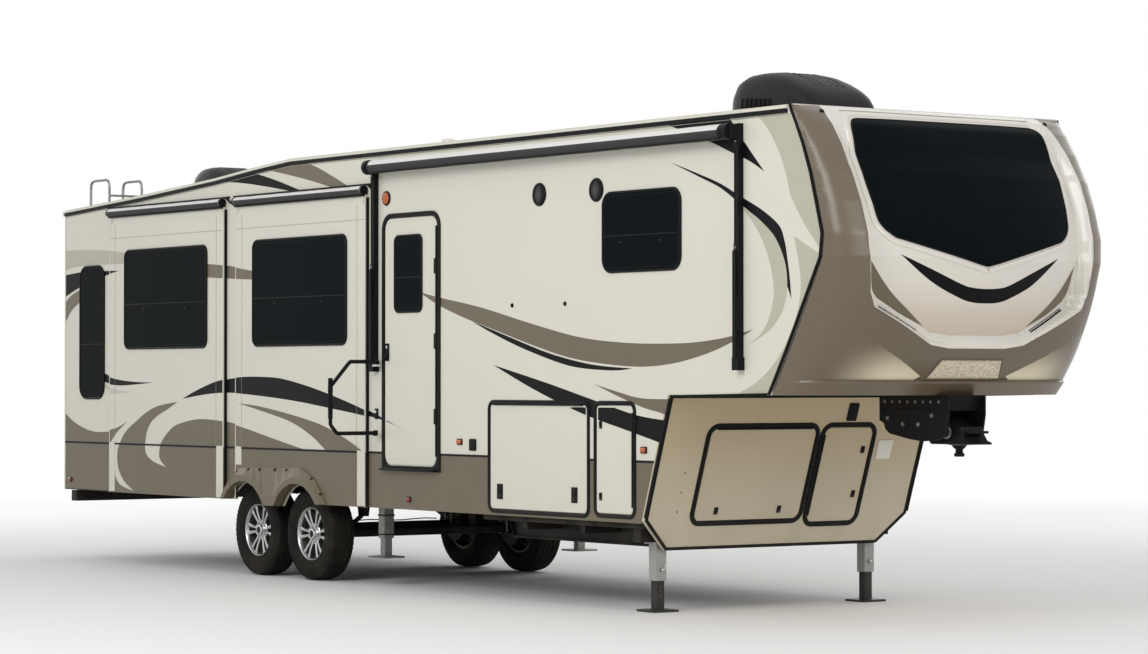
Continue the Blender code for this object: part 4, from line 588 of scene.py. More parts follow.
def rounded(x0, x1, z0, z1, radius, steps=6):
    """Rounded rectangle, anticlockwise."""
    points = []
    for cx, cz, start in ((x1 - radius, z0 + radius, -90), (x1 - radius, z1 - radius, 0),
                          (x0 + radius, z1 - radius, 90), (x0 + radius, z0 + radius, 180)):
        for k in range(steps + 1):
            turn = radians(start + 90 * k / steps)
            points.append((cx + radius * cos(turn), cz + radius * sin(turn)))
    return points


def curve(points, steps=8):
    """Smooth line through the points."""
    line = []
    for k in range(len(points) - 1):
        p0, p1, p2, p3 = (Vector(points[min(max(k + shift, 0), len(points) - 1)])
                          for shift in (-1, 0, 1, 2))
        for s in range(steps):
            t = s / steps
            line.append(tuple(0.5 * (2 * p1 + (p2 - p0) * t + (2 * p0 - 5 * p1 + 4 * p2 - p3) * t * t
                                     + (3 * p1 - p0 - 3 * p2 + p3) * t ** 3)))
    return line + [tuple(points[-1])]


def loop(*runs):
    """Closed outline of smooth runs that meet in corners."""
    line = []
    for run in runs:
        for point in (curve(run) if len(run) > 2 else run):
            if not line or hypot(point[0] - line[-1][0], point[1] - line[-1][1]) > 0.0005:
                line.append(tuple(point))
    if hypot(line[0][0] - line[-1][0], line[0][1] - line[-1][1]) < 0.0005:
        line.pop()
    return line


def drawn(text):
    """Closed outline from its smooth runs of places in millimetres; strokes part the runs."""
    return loop(*(mm(run) for run in text.split("/")))


def spread(start, end, count):
    """Evenly spaced values from start to end, count steps apart."""
    return [start + (end - start) * k / count for k in range(count + 1)]


def bar(half, under, top, rise):
    """Profile of a flat bar: half width and depth at its foot, half width and height at its top."""
    return (-half, -under), (half, -under), (top, rise), (-top, rise)


def anticlockwise(outline):
    area = sum(a[0] * b[1] - b[0] * a[1] for a, b in zip(outline, outline[1:] + outline[:1]))
    return outline if area > 0 else outline[::-1]


def triangulated(loops, extra=()):
    """Triangles over closed outlines and further points, with the outlines that each lies in."""
    flat, faces = [], []
    for ring in loops:
        faces.append(list(range(len(flat), len(flat) + len(ring))))
        flat += [Vector(p) for p in ring]
    return delaunay_2d_cdt(flat + list(extra), [], faces, 1, 1e-5)


def between(rows, at, column=1):
    """Value of a column at a place, linear between the rows."""
    k = min(max(bisect_right([row[0] for row in rows], at) - 1, 0), len(rows) - 2)
    share = (at - rows[k][0]) / (rows[k + 1][0] - rows[k][0])
    share = min(max(share, 0.0), 1.0)
    return rows[k][column] + share * (rows[k + 1][column] - rows[k][column])


def roof_at(x):
    return between(ROOF_LINE, x)


# Meshes

class Form:
    """Mesh in the making, in trailer coordinates; every face carries the name of its finish."""

    def __init__(self, name):
        self.name = name
        self.points, self.faces, self.looks, self.normals = [], [], [], None

    def add(self, points, faces, look):
        first = len(self.points)
        self.points += [Vector(p) for p in points]
        self.faces += [tuple(first + k for k in face) for face in faces]
        self.looks += [look] * len(faces) if isinstance(look, str) else list(look)

    def rings(self, rings, look, closed=False):
        """Skin over rings of equal length."""
        count = len(rings[0])
        faces = []
        for a in range(len(rings) if closed else len(rings) - 1):
            b = (a + 1) % len(rings)
            for k in range(count):
                n = (k + 1) % count
                faces.append((a * count + k, a * count + n, b * count + n, b * count + k))
        if not closed:
            faces.append(tuple(range(count))[::-1])
            faces.append(tuple(range((len(rings) - 1) * count, len(rings) * count)))
        self.add([p for ring in rings for p in ring], faces, look)

    def sweep(self, path, profile, up, look, closed=False):
        """Profile of (side, up) offsets carried along a path, mitred at its corners."""
        path = [Vector(p) for p in path]
        rings = []
        for k, here in enumerate(path):
            before = path[k - 1] if k or closed else None
            after = path[(k + 1) % len(path)] if k < len(path) - 1 or closed else None
            first = (here - before).normalized() if before is not None else (after - here).normalized()
            second = (after - here).normalized() if after is not None else first
            along = (first + second).normalized()
            lift = Vector(up(here) if callable(up) else up)
            side = along.cross(lift).normalized()
            rise = side.cross(along).normalized()
            stretch = 1.0 / max(along.dot(second), 0.35)
            rings.append([here + side * (a * stretch) + rise * b for a, b in profile])
        self.rings(rings, look, closed)

    def tube(self, path, radius, look, sides):
        """Round bar along a path."""
        path = [Vector(p) for p in path]
        start = (path[1] - path[0]).normalized()
        side = start.orthogonal().normalized()
        rings = []
        for k, here in enumerate(path):
            before = path[k - 1] if k else here
            after = path[k + 1] if k < len(path) - 1 else here
            along = (after - before).normalized()
            side = (side - along * side.dot(along)).normalized()
            other = along.cross(side)
            size = radius(k / (len(path) - 1)) if callable(radius) else radius
            rings.append([here + (side * cos(t) + other * sin(t)) * size
                          for t in (2 * pi * n / sides for n in range(sides))])
        self.rings(rings, look)

    def block(self, low, high, look, edge):
        """Bar with rounded edges."""
        bm = bmesh.new()
        bmesh.ops.create_cube(bm, size=1.0)
        low, high = Vector(low), Vector(high)
        for v in bm.verts:
            v.co = Vector([(low[k] + high[k]) / 2 + v.co[k] * (high[k] - low[k]) for k in range(3)])
        edge = min(edge, 0.45 * min(high[k] - low[k] for k in range(3)))
        bmesh.ops.bevel(bm, geom=list(bm.edges), offset=edge, segments=2, profile=0.5, affect="EDGES")
        bm.verts.index_update()
        self.add([v.co.copy() for v in bm.verts], [tuple(v.index for v in f.verts) for f in bm.faces], look)
        bm.free()

    def lathe(self, centre, axis, profile, look, steps, start=0.0):
        """Profile of (along, radius) turned about an axis; look is one finish, or one for each band."""
        centre, axis = Vector(centre), Vector(axis).normalized()
        side = axis.orthogonal().normalized()
        other = axis.cross(side)
        turns = [start + 2 * pi * k / steps for k in range(steps)]
        points = [centre + axis * a + (side * cos(t) + other * sin(t)) * r
                  for a, r in profile for t in turns]
        faces = []
        for a in range(len(profile) - 1):
            for k in range(steps):
                n = (k + 1) % steps
                faces.append((a * steps + k, (a + 1) * steps + k, (a + 1) * steps + n, a * steps + n))
        if not isinstance(look, str):
            look = [look[i // steps] for i in range(len(faces))]
        self.add(points, faces, look)

    def plate(self, outline, place, thick, look):
        """Flat plate over an outline, laid by place(u, v, out)."""
        ring = anticlockwise(outline)
        points, _, found, _, _, origins = triangulated([ring])
        keep = [face for face, of in zip(found, origins) if 0 in of]
        self.add([place(p.x, p.y, thick) for p in points], keep, look)
        wall = [place(u, v, out) for out in (0.0, thick) for u, v in ring]
        count = len(ring)
        self.add(wall, [(k, (k + 1) % count, count + (k + 1) % count, count + k) for k in range(count)],
                 look)

    def make(self, body, slot, replaces=(), angle=35.0, recalculate=True):
        mesh = bpy.data.meshes.new(self.name)
        mesh.from_pydata([p + TRAILER for p in self.points], [], self.faces)
        names = sorted(set(self.looks))
        for name in names:
            mesh.materials.append(FINISH[name])
        mesh.polygons.foreach_set("material_index", [names.index(look) for look in self.looks])
        if recalculate:
            bm = bmesh.new()
            bm.from_mesh(mesh)
            bmesh.ops.recalc_face_normals(bm, faces=bm.faces)
            bm.to_mesh(mesh)
            bm.free()
        mesh.shade_smooth()
        mesh.set_sharp_from_angle(angle=radians(angle))
        if self.normals:
            mesh.normals_split_custom_set_from_vertices(self.normals)
        mesh.update()
        made = bpy.data.objects.new(self.name, mesh)
        bpy.context.scene.collection.objects.link(made)
        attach(made, body)
        if replaces:
            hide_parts(*replaces)


def side_place(side, skin=0.0):
    """Place on a side wall: x, z and the distance out of the skin."""
    return lambda x, z, out: Vector((x, side * (HALF_WIDTH + skin + out), z))


def nose_place(y, z, out):
    """Place on the leaning nose wall, square to it."""
    lean = Vector((1.0, 0.0, -NOSE_LEAN)).normalized()
    return Vector((NOSE_X + (z - SKIRT_Z) * NOSE_LEAN, y, z)) + lean * out


def rear_place(y, z, out):
    return Vector((-out, y, z))


def raised(place, by):
    """The same place, further out of its face."""
    return lambda u, v, out: place(u, v, out + by)


def knob(form, place, u, v, out, profile, look, steps):
    """Turned shape that stands on a face."""
    foot = place(u, v, out)
    form.lathe(foot, place(u, v, out + 1.0) - foot, profile, look, steps)


CURB, STREET = -1.0, 1.0


# Painted shapes on the sides: finish and outline (x, z), later ones over earlier ones; the belt is at 1083
SIDE_SHAPES = (
    ("sage", drawn("0 2876, 257 2878, 650 2865, 981 2847, 1330 2815 / "
                   "1330 2720, 981 2725, 650 2728, 256 2723, 0 2697")),
    ("black", drawn("0 2649, 176 2661, 361 2669, 802 2668, 1145 2660 / "
                    "1145 2660, 981 2640, 802 2621, 334 2535, 0 2445")),
    ("taupe", drawn("0 2391, 122 2454, 360 2521 / 360 2412, 149 2322, 42 2240, 0 2199")),
    ("black", drawn("700 1760, 800 1729, 977 1687, 1204 1661, 1503 1645, 1809 1641 / "
                    "1809 1641, 1503 1625, 1204 1614, 977 1623, 800 1650, 700 1680")),
    ("grey", drawn("700 1670, 800 1635, 977 1594, 1154 1571, 1416 1554 / "
                   "1416 1554, 1154 1540, 977 1540, 800 1600, 700 1630")),
    ("taupe", drawn("2750 2680, 2810 2674, 3117 2652, 3475 2608, 3700 2580 / "
                    "3700 2515, 3289 2532, 3116 2541, 2750 2560")),
    ("taupe", drawn("0 1354, 180 1275, 403 1215, 600 1187, 776 1185, 950 1195 / "
                    "950 1205, 1140 1235, 1323 1290 / 1323 1290, 1120 1190, 970 1083 / 970 1083, 0 1083")),
    ("taupe", drawn("1165 1083, 1255 1175, 1422 1263, 1815 1414, 2275 1471 / "
                    "2275 1471, 2065 1397, 1900 1345, 1776 1285, 1690 1190, 1660 1083")),
    ("cream", drawn("1075 1083, 1075 850, 1100 770, 1200 705, 1440 660 / "
                    "1440 660, 1250 750, 1150 850, 1120 950, 1130 1030, 1165 1083")),
    ("cream", drawn("1660 1083, 1672 1020, 1720 975, 1840 930, 2064 889 / "
                    "2064 889, 1965 940, 1930 995, 1945 1083")),
    ("taupe", drawn("1945 1083, 2007 1142, 2120 1215, 2274 1272, 2649 1321, 3087 1307, 3444 1258, "
                    "4000 1165, 4406 1099, 4520 1083")),
    ("black", drawn("2359 1498, 2649 1580, 3000 1655, 3398 1688, 3800 1690, 4163 1668, 4740 1575, "
                    "5412 1428, 5969 1270 / 5969 1270, 5593 1355, 4738 1449, 4250 1495, 3726 1530, "
                    "3196 1554, 2800 1540, 2359 1498")),
    ("taupe", drawn("3356 1466, 3726 1440, 4239 1378, 4738 1298, 5100 1200, 5364 1105, 5410 1083 / "
                    "4830 1083, 4750 1125, 4573 1211, 4239 1318, 3726 1408, 3356 1466")),
    ("black", drawn("2720 3460, 3400 3550, 3478 3447 / 3478 3447, 3845 3373, 4203 3285, 4583 3182 / "
                    "4583 3182, 4203 3244, 3754 3307, 3292 3360, 2785 3393")),
    ("taupe", drawn("3663 3463, 3750 3560, 4300 3560 / 4300 3500, 4613 3427, 4978 3298, 5320 3165 / "
                    "5320 3165, 4978 3222, 4497 3322, 4025 3406, 3663 3463")),
    ("taupe", drawn("6215 2354, 6496 2307, 7095 2217, 7796 2080, 8407 1976, 8993 1930, 9557 1921, "
                    "9884 1933, 10200 1965, 10450 2010 / 10450 2010, 10125 1899, 9830 1828, 9501 1777, "
                    "9136 1759, 8702 1781, 8256 1830, 7796 1922, 7321 2033, 6831 2149, 6461 2256, "
                    "6215 2354")),
    ("black", drawn("6957 2116, 7481 1987, 7982 1867, 8406 1795, 8702 1764, 9050 1747 / "
                    "9050 1747, 8819 1733, 8406 1752, 8104 1797, 7639 1905, 7256 2016, 6957 2116")),
    ("black", drawn("7256 1778, 7981 1640, 8643 1503, 9106 1412, 9500 1375 / "
                    "9500 1190, 9332 1230, 8991 1301, 8405 1424, 7795 1596, 7256 1778")),
    ("taupe", drawn("8578 1634, 8877 1577, 9163 1534, 9600 1528 / "
                    "9600 1380, 9389 1431, 9163 1471, 8877 1546, 8578 1634")),
    ("black", drawn("9700 3560, 10165 3560 / 10165 3490, 10300 3340, 10565 3080 / "
                    "10565 3080, 10400 3160, 10200 3230, 9950 3320, 9450 3470")),
    ("sage", drawn("10300 3560, 10460 3560 / 10460 3490, 10610 3360, 10725 3204, 10800 3050, 10850 2900 / "
                   "10850 2900, 11000 2700, 11200 2500 / 11200 2500, 11250 2900, 10950 3560, 10600 3560 / "
                   "10600 3560, 10300 3560")),
    ("black", drawn("9500 3200, 9829 3101, 10080 3020, 10299 2924, 10540 2820, 10724 2708, 10785 2600, "
                    "10813 2490, 10840 2350, 10856 2209 / 10856 2209, 10800 2320, 10753 2420, 10709 2560, "
                    "10590 2680, 10452 2785, 10299 2870, 10080 2990, 9829 3082, 9500 3200")),
    ("sage", drawn("10299 2858, 10430 2800, 10543 2735, 10670 2640, 10753 2529, 10800 2420, 10812 2303, "
                   "10790 2190, 10722 2081, 10580 1980, 10343 1888 / "
                   "10343 1888, 10500 1960, 10600 2060, 10660 2200, 10663 2320, 10620 2470, 10540 2620, "
                   "10430 2750, 10299 2858")),
    ("sage", drawn("10887 2628, 11030 2560, 11200 2480 / 11200 2480, 11080 2300, 10900 1990, 10660 1550 / "
                   "10660 1550, 10300 1550 / 10300 1580, 10500 1660, 10700 1800, 10860 2000, 10945 2200, "
                   "10950 2380, 10887 2628")),
)


def roof_edge(x0, x1):
    """Points of the wall's top from x0 to x1, just under the roof's trim."""
    stops = [x0] + [x for x, _ in ROOF_LINE if x0 < x < x1] + [x1]
    return [(x, roof_at(x) - ROOF_THICK - 0.004) for x in stops]


ROOF_STOPS = (0.0, 0.7, 1.5, 2.2, 2.9, 3.2, 3.55, 3.9, 4.2, 6.0, 8.0, 10.0)


def seam_at(z):
    return between(CAP_ROWS, z)


def wall_outline():
    heights = (3.46, 3.39, 3.25, 3.05, 2.85, 2.64, 2.48, 2.30, 2.15, 2.02, 1.88, 1.80, 1.66, 1.57)
    seam = [(seam_at(z) - 0.006, z) for z in heights]
    nose = [(NOSE_X + (z - SKIRT_Z) * NOSE_LEAN, z) for z in (1.55, 0.66)]
    return [(0.004, SKIRT_Z), (0.004, roof_at(0) - ROOF_THICK)] + roof_edge(0.05, 10.83) + seam + nose


def lay_graphics(name, body, side, skin, outline, holes):
    """Thin vinyl on one panel: every painted shape cut to the panel and to its openings."""
    panel = [anticlockwise(ring) for ring in (outline, *holes)]
    low, high = min(p[0] for p in outline), max(p[0] for p in outline)
    floor, top = min(p[1] for p in outline), max(p[1] for p in outline)
    shapes = [(look, anticlockwise(shape)) for look, shape in SIDE_SHAPES
              if max(p[0] for p in shape) > low and min(p[0] for p in shape) < high
              and max(p[1] for p in shape) > floor and min(p[1] for p in shape) < top]
    if not shapes:
        return
    points, _, found, _, _, origins = triangulated(panel + [shape for _, shape in shapes])
    first = len(panel)
    keep, looks = [], []
    for face, of in zip(found, origins):
        painted = [k for k in of if k >= first]
        if 0 in of and painted and not any(0 < k < first for k in of):
            keep.append(face)
            looks.append(shapes[max(painted) - first][0])
    form = Form(name)
    place = side_place(side, skin)
    form.add([place(p.x, p.y, VINYL) for p in points], keep, looks)
    form.make(body, slot="wall_cream", recalculate=False)


# Doors and windows: sides from low to high, then the radius of the corners
ENTRY = (5.70, 6.465, 0.985, 2.95, 0.09)
DOOR_WINDOW = (5.85, 6.25, 2.20, 2.81, 0.05)
BAGGAGE_LARGE = (7.22, 8.49, 0.69, 1.48, 0.03)
BAGGAGE_SMALL = (8.61, 9.06, 0.70, 1.48, 0.03)
REAR_SIDE = (0.32, 0.81, 1.49, 2.72, 0.12)
BEDROOM = (8.69, 9.63, 2.44, 3.02, 0.06)
KITCHEN = (6.35, 7.45, 2.05, 2.75, 0.06)
NOSE_LARGE = (-0.79, 0.175, 0.65, 1.315, 0.05)
NOSE_SMALL = (0.26, 0.715, 0.62, 1.315, 0.05)
REAR_ROOM_WINDOW = (1.27, 2.81, 1.945, 2.84, 0.07)
ROOM_WINDOW = (3.62, 5.155, 1.95, 2.85, 0.07)
REAR_WINDOW = (-0.42, 0.84, 1.95, 2.75, 0.07)
# Slide-out rooms from rear to front, and what the wheel flare takes from the middle ones
ROOM_REAR = (0.96, 3.10)
ROOM_MIDDLE = (3.31, 5.44)
FLARE_TOP = 0.93
FLARE_GAP = mm("3310 500, 4900 500, 4900 950, 3310 950")


def cleared(*boxes):
    """Outlines a millimetre larger than the boxes."""
    by = 0.001
    return [rounded(x0 - by, x1 + by, z0 - by, z1 + by, radius + by) for x0, x1, z0, z1, radius in boxes]


def square(x0, x1, z0, z1):
    return [(x0, z0), (x1, z0), (x1, z1), (x0, z1)]


def room_outline(span):
    return square(span[0] + 0.001, span[1] - 0.001, SKIRT_Z, ROOM_TOP - 0.02)


def opening(span):
    return square(span[0] - 0.002, span[1] + 0.002, SKIRT_Z - 0.1, ROOM_TOP + 0.05)


def box_outline(box):
    x0, x1, z0, z1, radius = box
    return rounded(x0 + 0.001, x1 - 0.001, z0 + 0.001, z1 - 0.001, radius)


def make_graphics():
    curb_holes = cleared(ENTRY, BAGGAGE_LARGE, BAGGAGE_SMALL, REAR_SIDE, BEDROOM)
    curb_holes = [opening(ROOM_REAR), opening(ROOM_MIDDLE)] + curb_holes
    street_holes = [opening(ROOM_MIDDLE)] + cleared(BAGGAGE_LARGE, KITCHEN, BEDROOM)
    middle_holes = cleared(ROOM_WINDOW) + [FLARE_GAP]
    for name, body, side, skin, outline, holes in (
            ("curb", "trailer", CURB, 0.0, wall_outline(), curb_holes),
            ("rear_room", "slide_room_rear", CURB, ROOM_OUT, room_outline(ROOM_REAR),
             cleared(REAR_ROOM_WINDOW)),
            ("middle_room", "slide_room_middle", CURB, ROOM_OUT, room_outline(ROOM_MIDDLE), middle_holes),
            ("entry_door", "entry_door", CURB, 0.0, box_outline(ENTRY), cleared(DOOR_WINDOW)),
            ("large_door", "baggage_door_large", CURB, 0.0, box_outline(BAGGAGE_LARGE), []),
            ("small_door", "baggage_door_small", CURB, 0.0, box_outline(BAGGAGE_SMALL), []),
            ("street", "trailer", STREET, 0.0, wall_outline(), street_holes),
            ("street_room", "slide_room_street", STREET, ROOM_OUT, room_outline(ROOM_MIDDLE), middle_holes),
            ("street_door", "baggage_door_street", STREET, 0.0, box_outline(BAGGAGE_LARGE), [])):
        lay_graphics(name + "_graphics", body, side, skin, outline, holes)


# Front cap

def smooth_step(t):
    t = min(max(t, 0.0), 1.0)
    return t * t * (3 - 2 * t)


def shoulder_at(y, z):
    seam, nose = between(CAP_ROWS, z, 1), between(CAP_ROWS, z, 2)
    share = min(abs(y) / HALF_WIDTH, 1.0)
    return seam + max(nose - seam, 0.004) * (1 - share ** CAP_ROUND) ** (1 / CAP_ROUND)


FIELD_EDGE = [(HALF_WIDTH * share, z) for share, z in FIELD]


def inside_field(y, z):
    """Distance from the field's outline, positive inside it."""
    y = abs(y)
    least = 1.0
    for (y0, z0), (y1, z1) in zip(FIELD_EDGE, FIELD_EDGE[1:]):
        length = hypot(y1 - y0, z1 - z0)
        least = min(least, ((y1 - y0) * (z - z0) - (z1 - z0) * (y - y0)) / length)
    return least


def cap_at(y, z):
    shoulder = shoulder_at(y, z)
    seam, nose = between(CAP_ROWS, z, 1), between(CAP_ROWS, z, 2)
    share = min(abs(y) / HALF_WIDTH, 1.0)
    field = seam + (nose - FIELD_BACK - seam) * (1 - share ** FIELD_ROUND) ** (1 / FIELD_ROUND)
    sink = max(shoulder - field, 0.0) * smooth_step(inside_field(y, z) / FIELD_STEP)
    return shoulder - sink * smooth_step((FIELD_TOP - z) / FIELD_BROW)


def cap_normal(y, z):
    d = 0.004
    y = min(max(y, -HALF_WIDTH + d + 0.001), HALF_WIDTH - d - 0.001)
    z = min(max(z, DECK_Z + d), 3.52 - d)
    slope_y = (cap_at(y + d, z) - cap_at(y - d, z)) / (2 * d)
    slope_z = (cap_at(y, z + d) - cap_at(y, z - d)) / (2 * d)
    return Vector((1.0, -slope_y, -slope_z)).normalized()


def mirrored(half):
    """Closed outline from a half that runs from the middle at one end to the middle at the other."""
    return anticlockwise(list(half) + [(-y, z) for y, z in half[::-1] if abs(y) > 0.0005])


CAP_WINDOW = mirrored(drawn("0 3425, 500 3425, 780 3422 / 780 3422, 830 3410, 862 3370, 872 3300 / "
                            "872 3300, 887 3050, 862 2775 / 862 2775, 850 2720, 810 2665, 745 2620 / "
                            "745 2620, 100 2460, 0 2440"))


def moved_out(outline, by):
    """Outline moved outwards by a distance, square to its edges."""
    out = []
    for k, (y, z) in enumerate(outline):
        (y0, z0), (y1, z1) = outline[k - 1], outline[(k + 1) % len(outline)]
        length = hypot(y1 - y0, z1 - z0) or 1.0
        out.append((y + (z1 - z0) / length * by, z - (y1 - y0) / length * by))
    return out


def dense(ring, step=0.03):
    """Outline with points added, so that no edge cuts across the curve of the cap."""
    made = []
    for a, b in zip(ring, ring[1:] + ring[:1]):
        count = max(1, ceil(hypot(b[0] - a[0], b[1] - a[1]) / step))
        made += [(a[0] + (b[0] - a[0]) * k / count, a[1] + (b[1] - a[1]) * k / count) for k in range(count)]
    return made


def cap_zones():
    half_field = [(0.0, 1.877)] + FIELD_EDGE[1:7] + mm("1012 3440, 985 3519, 0 3519")
    field = mirrored(half_field)
    inner = mirrored(mm("0 1965, 240 1965, 400 1985, 845 2205, 915 2290, 945 2550, 955 3050, 935 3400, "
                        "880 3475, 0 3485"))
    smile = mirrored(drawn("0 2280, 120 2287, 220 2310, 450 2400, 720 2505 / "
                           "720 2505, 460 2320, 220 2215, 100 2187, 0 2183"))
    triangle = drawn("925 2460, 750 2250, 464 2025 / 464 2025, 660 2108, 840 2210 / "
                     "840 2210, 890 2280, 925 2460")
    slot = mm("826 2164, 511 2006, 519 1990, 834 2148")
    facet = mm("1020 1985, 390 1690, 430 1665, 1210 1665, 1212 1985")
    plate = mm("-336 1672, 336 1672, 277 1803, -277 1803")
    zones = [("shoulder", square(-CAP_EDGE, CAP_EDGE, CAP_FOOT, CAP_HEAD)),
             ("white", field), ("field", inner), ("black", smile)]
    for side in (1, -1):
        for look, shape in (("facet", facet), ("taupe", triangle), ("trim", slot)):
            zones.append((look, [(side * y, z) for y, z in shape]))
    zones.append(("plate", plate))
    return [(look, dense(anticlockwise(list(shape)))) for look, shape in zones]


def cap_mesh(name, zones, columns, rows, out):
    """Skin of the cap over outlines in y and z, with its true normals."""
    points, _, found, _, _, origins = triangulated([ring for _, ring in zones],
                                                   [Vector((y, z)) for y in columns for z in rows])
    form = Form(name)
    keep, marks = [], []
    for face, of in zip(found, origins):
        if of:
            keep.append(face)
            marks.append(zones[max(of)][0])
    normals = [cap_normal(p.x, p.y) for p in points]
    places = [Vector((cap_at(p.x, p.y), p.x, p.y)) + n * out for p, n in zip(points, normals)]
    form.add(places, keep, marks)
    form.normals = normals
    return form


def make_cap():
    edge = [1.2, 1.205, 1.21, 1.214, 1.217, 1.219, 1.2196]
    columns = [-y for y in edge[::-1]] + spread(-1.195, 1.195, 96) + edge
    rows = spread(1.575, 3.51, 78) + [1.5605, 1.64, 1.645, 1.65, 1.655, 1.66, 1.665, 3.515]
    form = cap_mesh("cap_skin", cap_zones(), columns, rows, 0.0)
    rim = [(cap_at(y, CAP_FOOT), y) for y in columns]
    inner = [(max(x - 0.04, 10.61), y * 0.967) for x, y in rim]
    first = len(form.points)
    for ring, z in ((rim, CAP_FOOT), (inner, CAP_FOOT), (inner, 1.66)):
        form.points += [Vector((x, y, z)) for x, y in ring]
    count = len(rim)
    for band in range(2):
        for k in range(count - 1):
            a = first + band * count + k
            form.faces.append((a, a + count, a + count + 1, a + 1))
            form.looks.append("shoulder")
    form.normals += [Vector((0.0, 0.0, -1.0))] * (2 * count) + [Vector((-1.0, 0.0, 0.0))] * count
    form.make("trailer", replaces=("front_cap",), slot="cap_white", recalculate=False, angle=60.0)

    pane = cap_mesh("cap_glass", [("glass", CAP_WINDOW)], spread(-0.9, 0.9, 60), spread(2.44, 3.40, 32),
                    0.006)
    pane.make("trailer", replaces=("cap_window",), slot="dark_glass", recalculate=False, angle=60.0)

    trim = Form("cap_mouldings")

    def on_cap(outline, out=0.0):
        return [Vector((cap_at(y, z), y, z)) + cap_normal(y, z) * out for y, z in outline]

    def lifted(point):
        return cap_normal(point.y, point.z)

    trim.sweep(on_cap(moved_out(CAP_WINDOW, 0.004)), bar(0.005, 0.004, 0.004, 0.008),
               lifted, "seal", closed=True)
    trim.sweep(on_cap(moved_out(CAP_WINDOW, 0.036)),
               mm("-22 -4, 22 -4, 14 7, 0 10, -14 7"), lifted, "white", closed=True)
    brow = [(y, 3.487) for y in spread(-0.86, 0.86, 40)]
    trim.sweep(on_cap(brow), bar(0.003, 0.001, 0.003, 0.003), lifted, "seam")
    for y in (-1.02, 1.02):
        trim.lathe(on_cap([(y, 3.475)])[0], cap_normal(y, 3.475), mm("-2 17, 6 16, 9 10, 10 0"), "trim", 20)
    for side in (1, -1):
        line = [(side * y, z) for y, z in zip(spread(0.826, 0.519, 12), spread(2.1545, 1.9995, 12))]
        trim.sweep(on_cap(line, 0.001), bar(0.003, 0.002, 0.002, 0.003), lifted, "white")
    rim_line = mm("336 1672, 277 1803, -277 1803, -336 1672")
    trim.sweep(on_cap(dense(rim_line, 0.06)), bar(0.006, 0.003, 0.004, 0.007), lifted, "shoulder",
               closed=True)
    lip = [(y, 1.652) for y in spread(-1.19, 1.19, 60)]
    trim.sweep(on_cap(lip), bar(0.008, 0.004, 0.006, 0.005), lifted, "shoulder")
    trim.make("trailer", slot="cap_white")

    seam = Form("cap_seam_trim")
    heights = (1.565, 1.645, 1.66, 1.72, 1.80, 1.88, 1.95, 2.02, 2.15, 2.30, 2.40, 2.48, 2.56, 2.64, 2.75,
               2.85, 3.05, 3.25, 3.39, 3.48, 3.515)
    for side in (CURB, STREET):
        line = [(seam_at(z), side * (HALF_WIDTH + 0.001), z) for z in heights]
        seam.sweep(line, bar(0.012, 0.003, 0.009, 0.007), (0.0, side, 0.0), "seal")
    top = [(10.845, y, 3.516) for y in spread(-1.2, 1.2, 24)]
    seam.sweep(top, bar(0.02, 0.004, 0.014, 0.006), UP, "sealant")
    seam.make("trailer", slot="black_trim")


# Trims, windows, doors and fittings on the walls

# Section of a frame 22 mm wide and 9 mm high
FRAME_PROFILE = mm("-11 -2, 11 -2, 9 6, 3 9, -3 9, -9 6")


def frame_ring(form, outline, place, look, width, height):
    """Moulded frame round an opening, centred on the outline."""
    path = [place(u, v, 0.0) for u, v in outline]
    lift = place(0.0, 1.0, 1.0) - place(0.0, 1.0, 0.0)
    form.sweep(path, [(a * width / 0.022, b * height / 0.009) for a, b in FRAME_PROFILE], lift, look,
               closed=True)


def strip(form, points, place, look, width=0.02, height=0.006):
    """Flat trim with rounded shoulders along points on a face."""
    path = [place(u, v, 0.0) for u, v in points]
    lift = place(0.0, 1.0, 1.0) - place(0.0, 1.0, 0.0)
    form.sweep(path, bar(width / 2, 0.001, width / 2 * 0.8, height), lift, look)


def screw(form, place, u, v, out=0.0, radius=0.006, look="trim"):
    head = ((-0.001, radius), (0.002, radius * 0.9), (0.0035, radius * 0.45), (0.0038, 0.0))
    knob(form, place, u, v, out, head, look, 10)


def box_on(form, place, u0, u1, v0, v1, out0, out1, look, edge=0.004):
    """Rounded box standing on a face, between two distances out of it."""
    outline = rounded(u0, u1, v0, v1, min(edge * 2, 0.45 * min(u1 - u0, v1 - v0)), 3)
    u_mid, v_mid = (u0 + u1) / 2, (v0 + v1) / 2
    u_share, v_share = 1 - 2 * edge / (u1 - u0), 1 - 2 * edge / (v1 - v0)
    inset = [(u_mid + (u - u_mid) * u_share, v_mid + (v - v_mid) * v_share) for u, v in outline]
    half_way = [((a[0] + b[0]) / 2, (a[1] + b[1]) / 2) for a, b in zip(outline, inset)]
    levels = ((outline, out0), (outline, out1 - edge), (half_way, out1 - edge * 0.3), (inset, out1))
    form.rings([[place(u, v, out) for u, v in ring] for ring, out in levels], look)


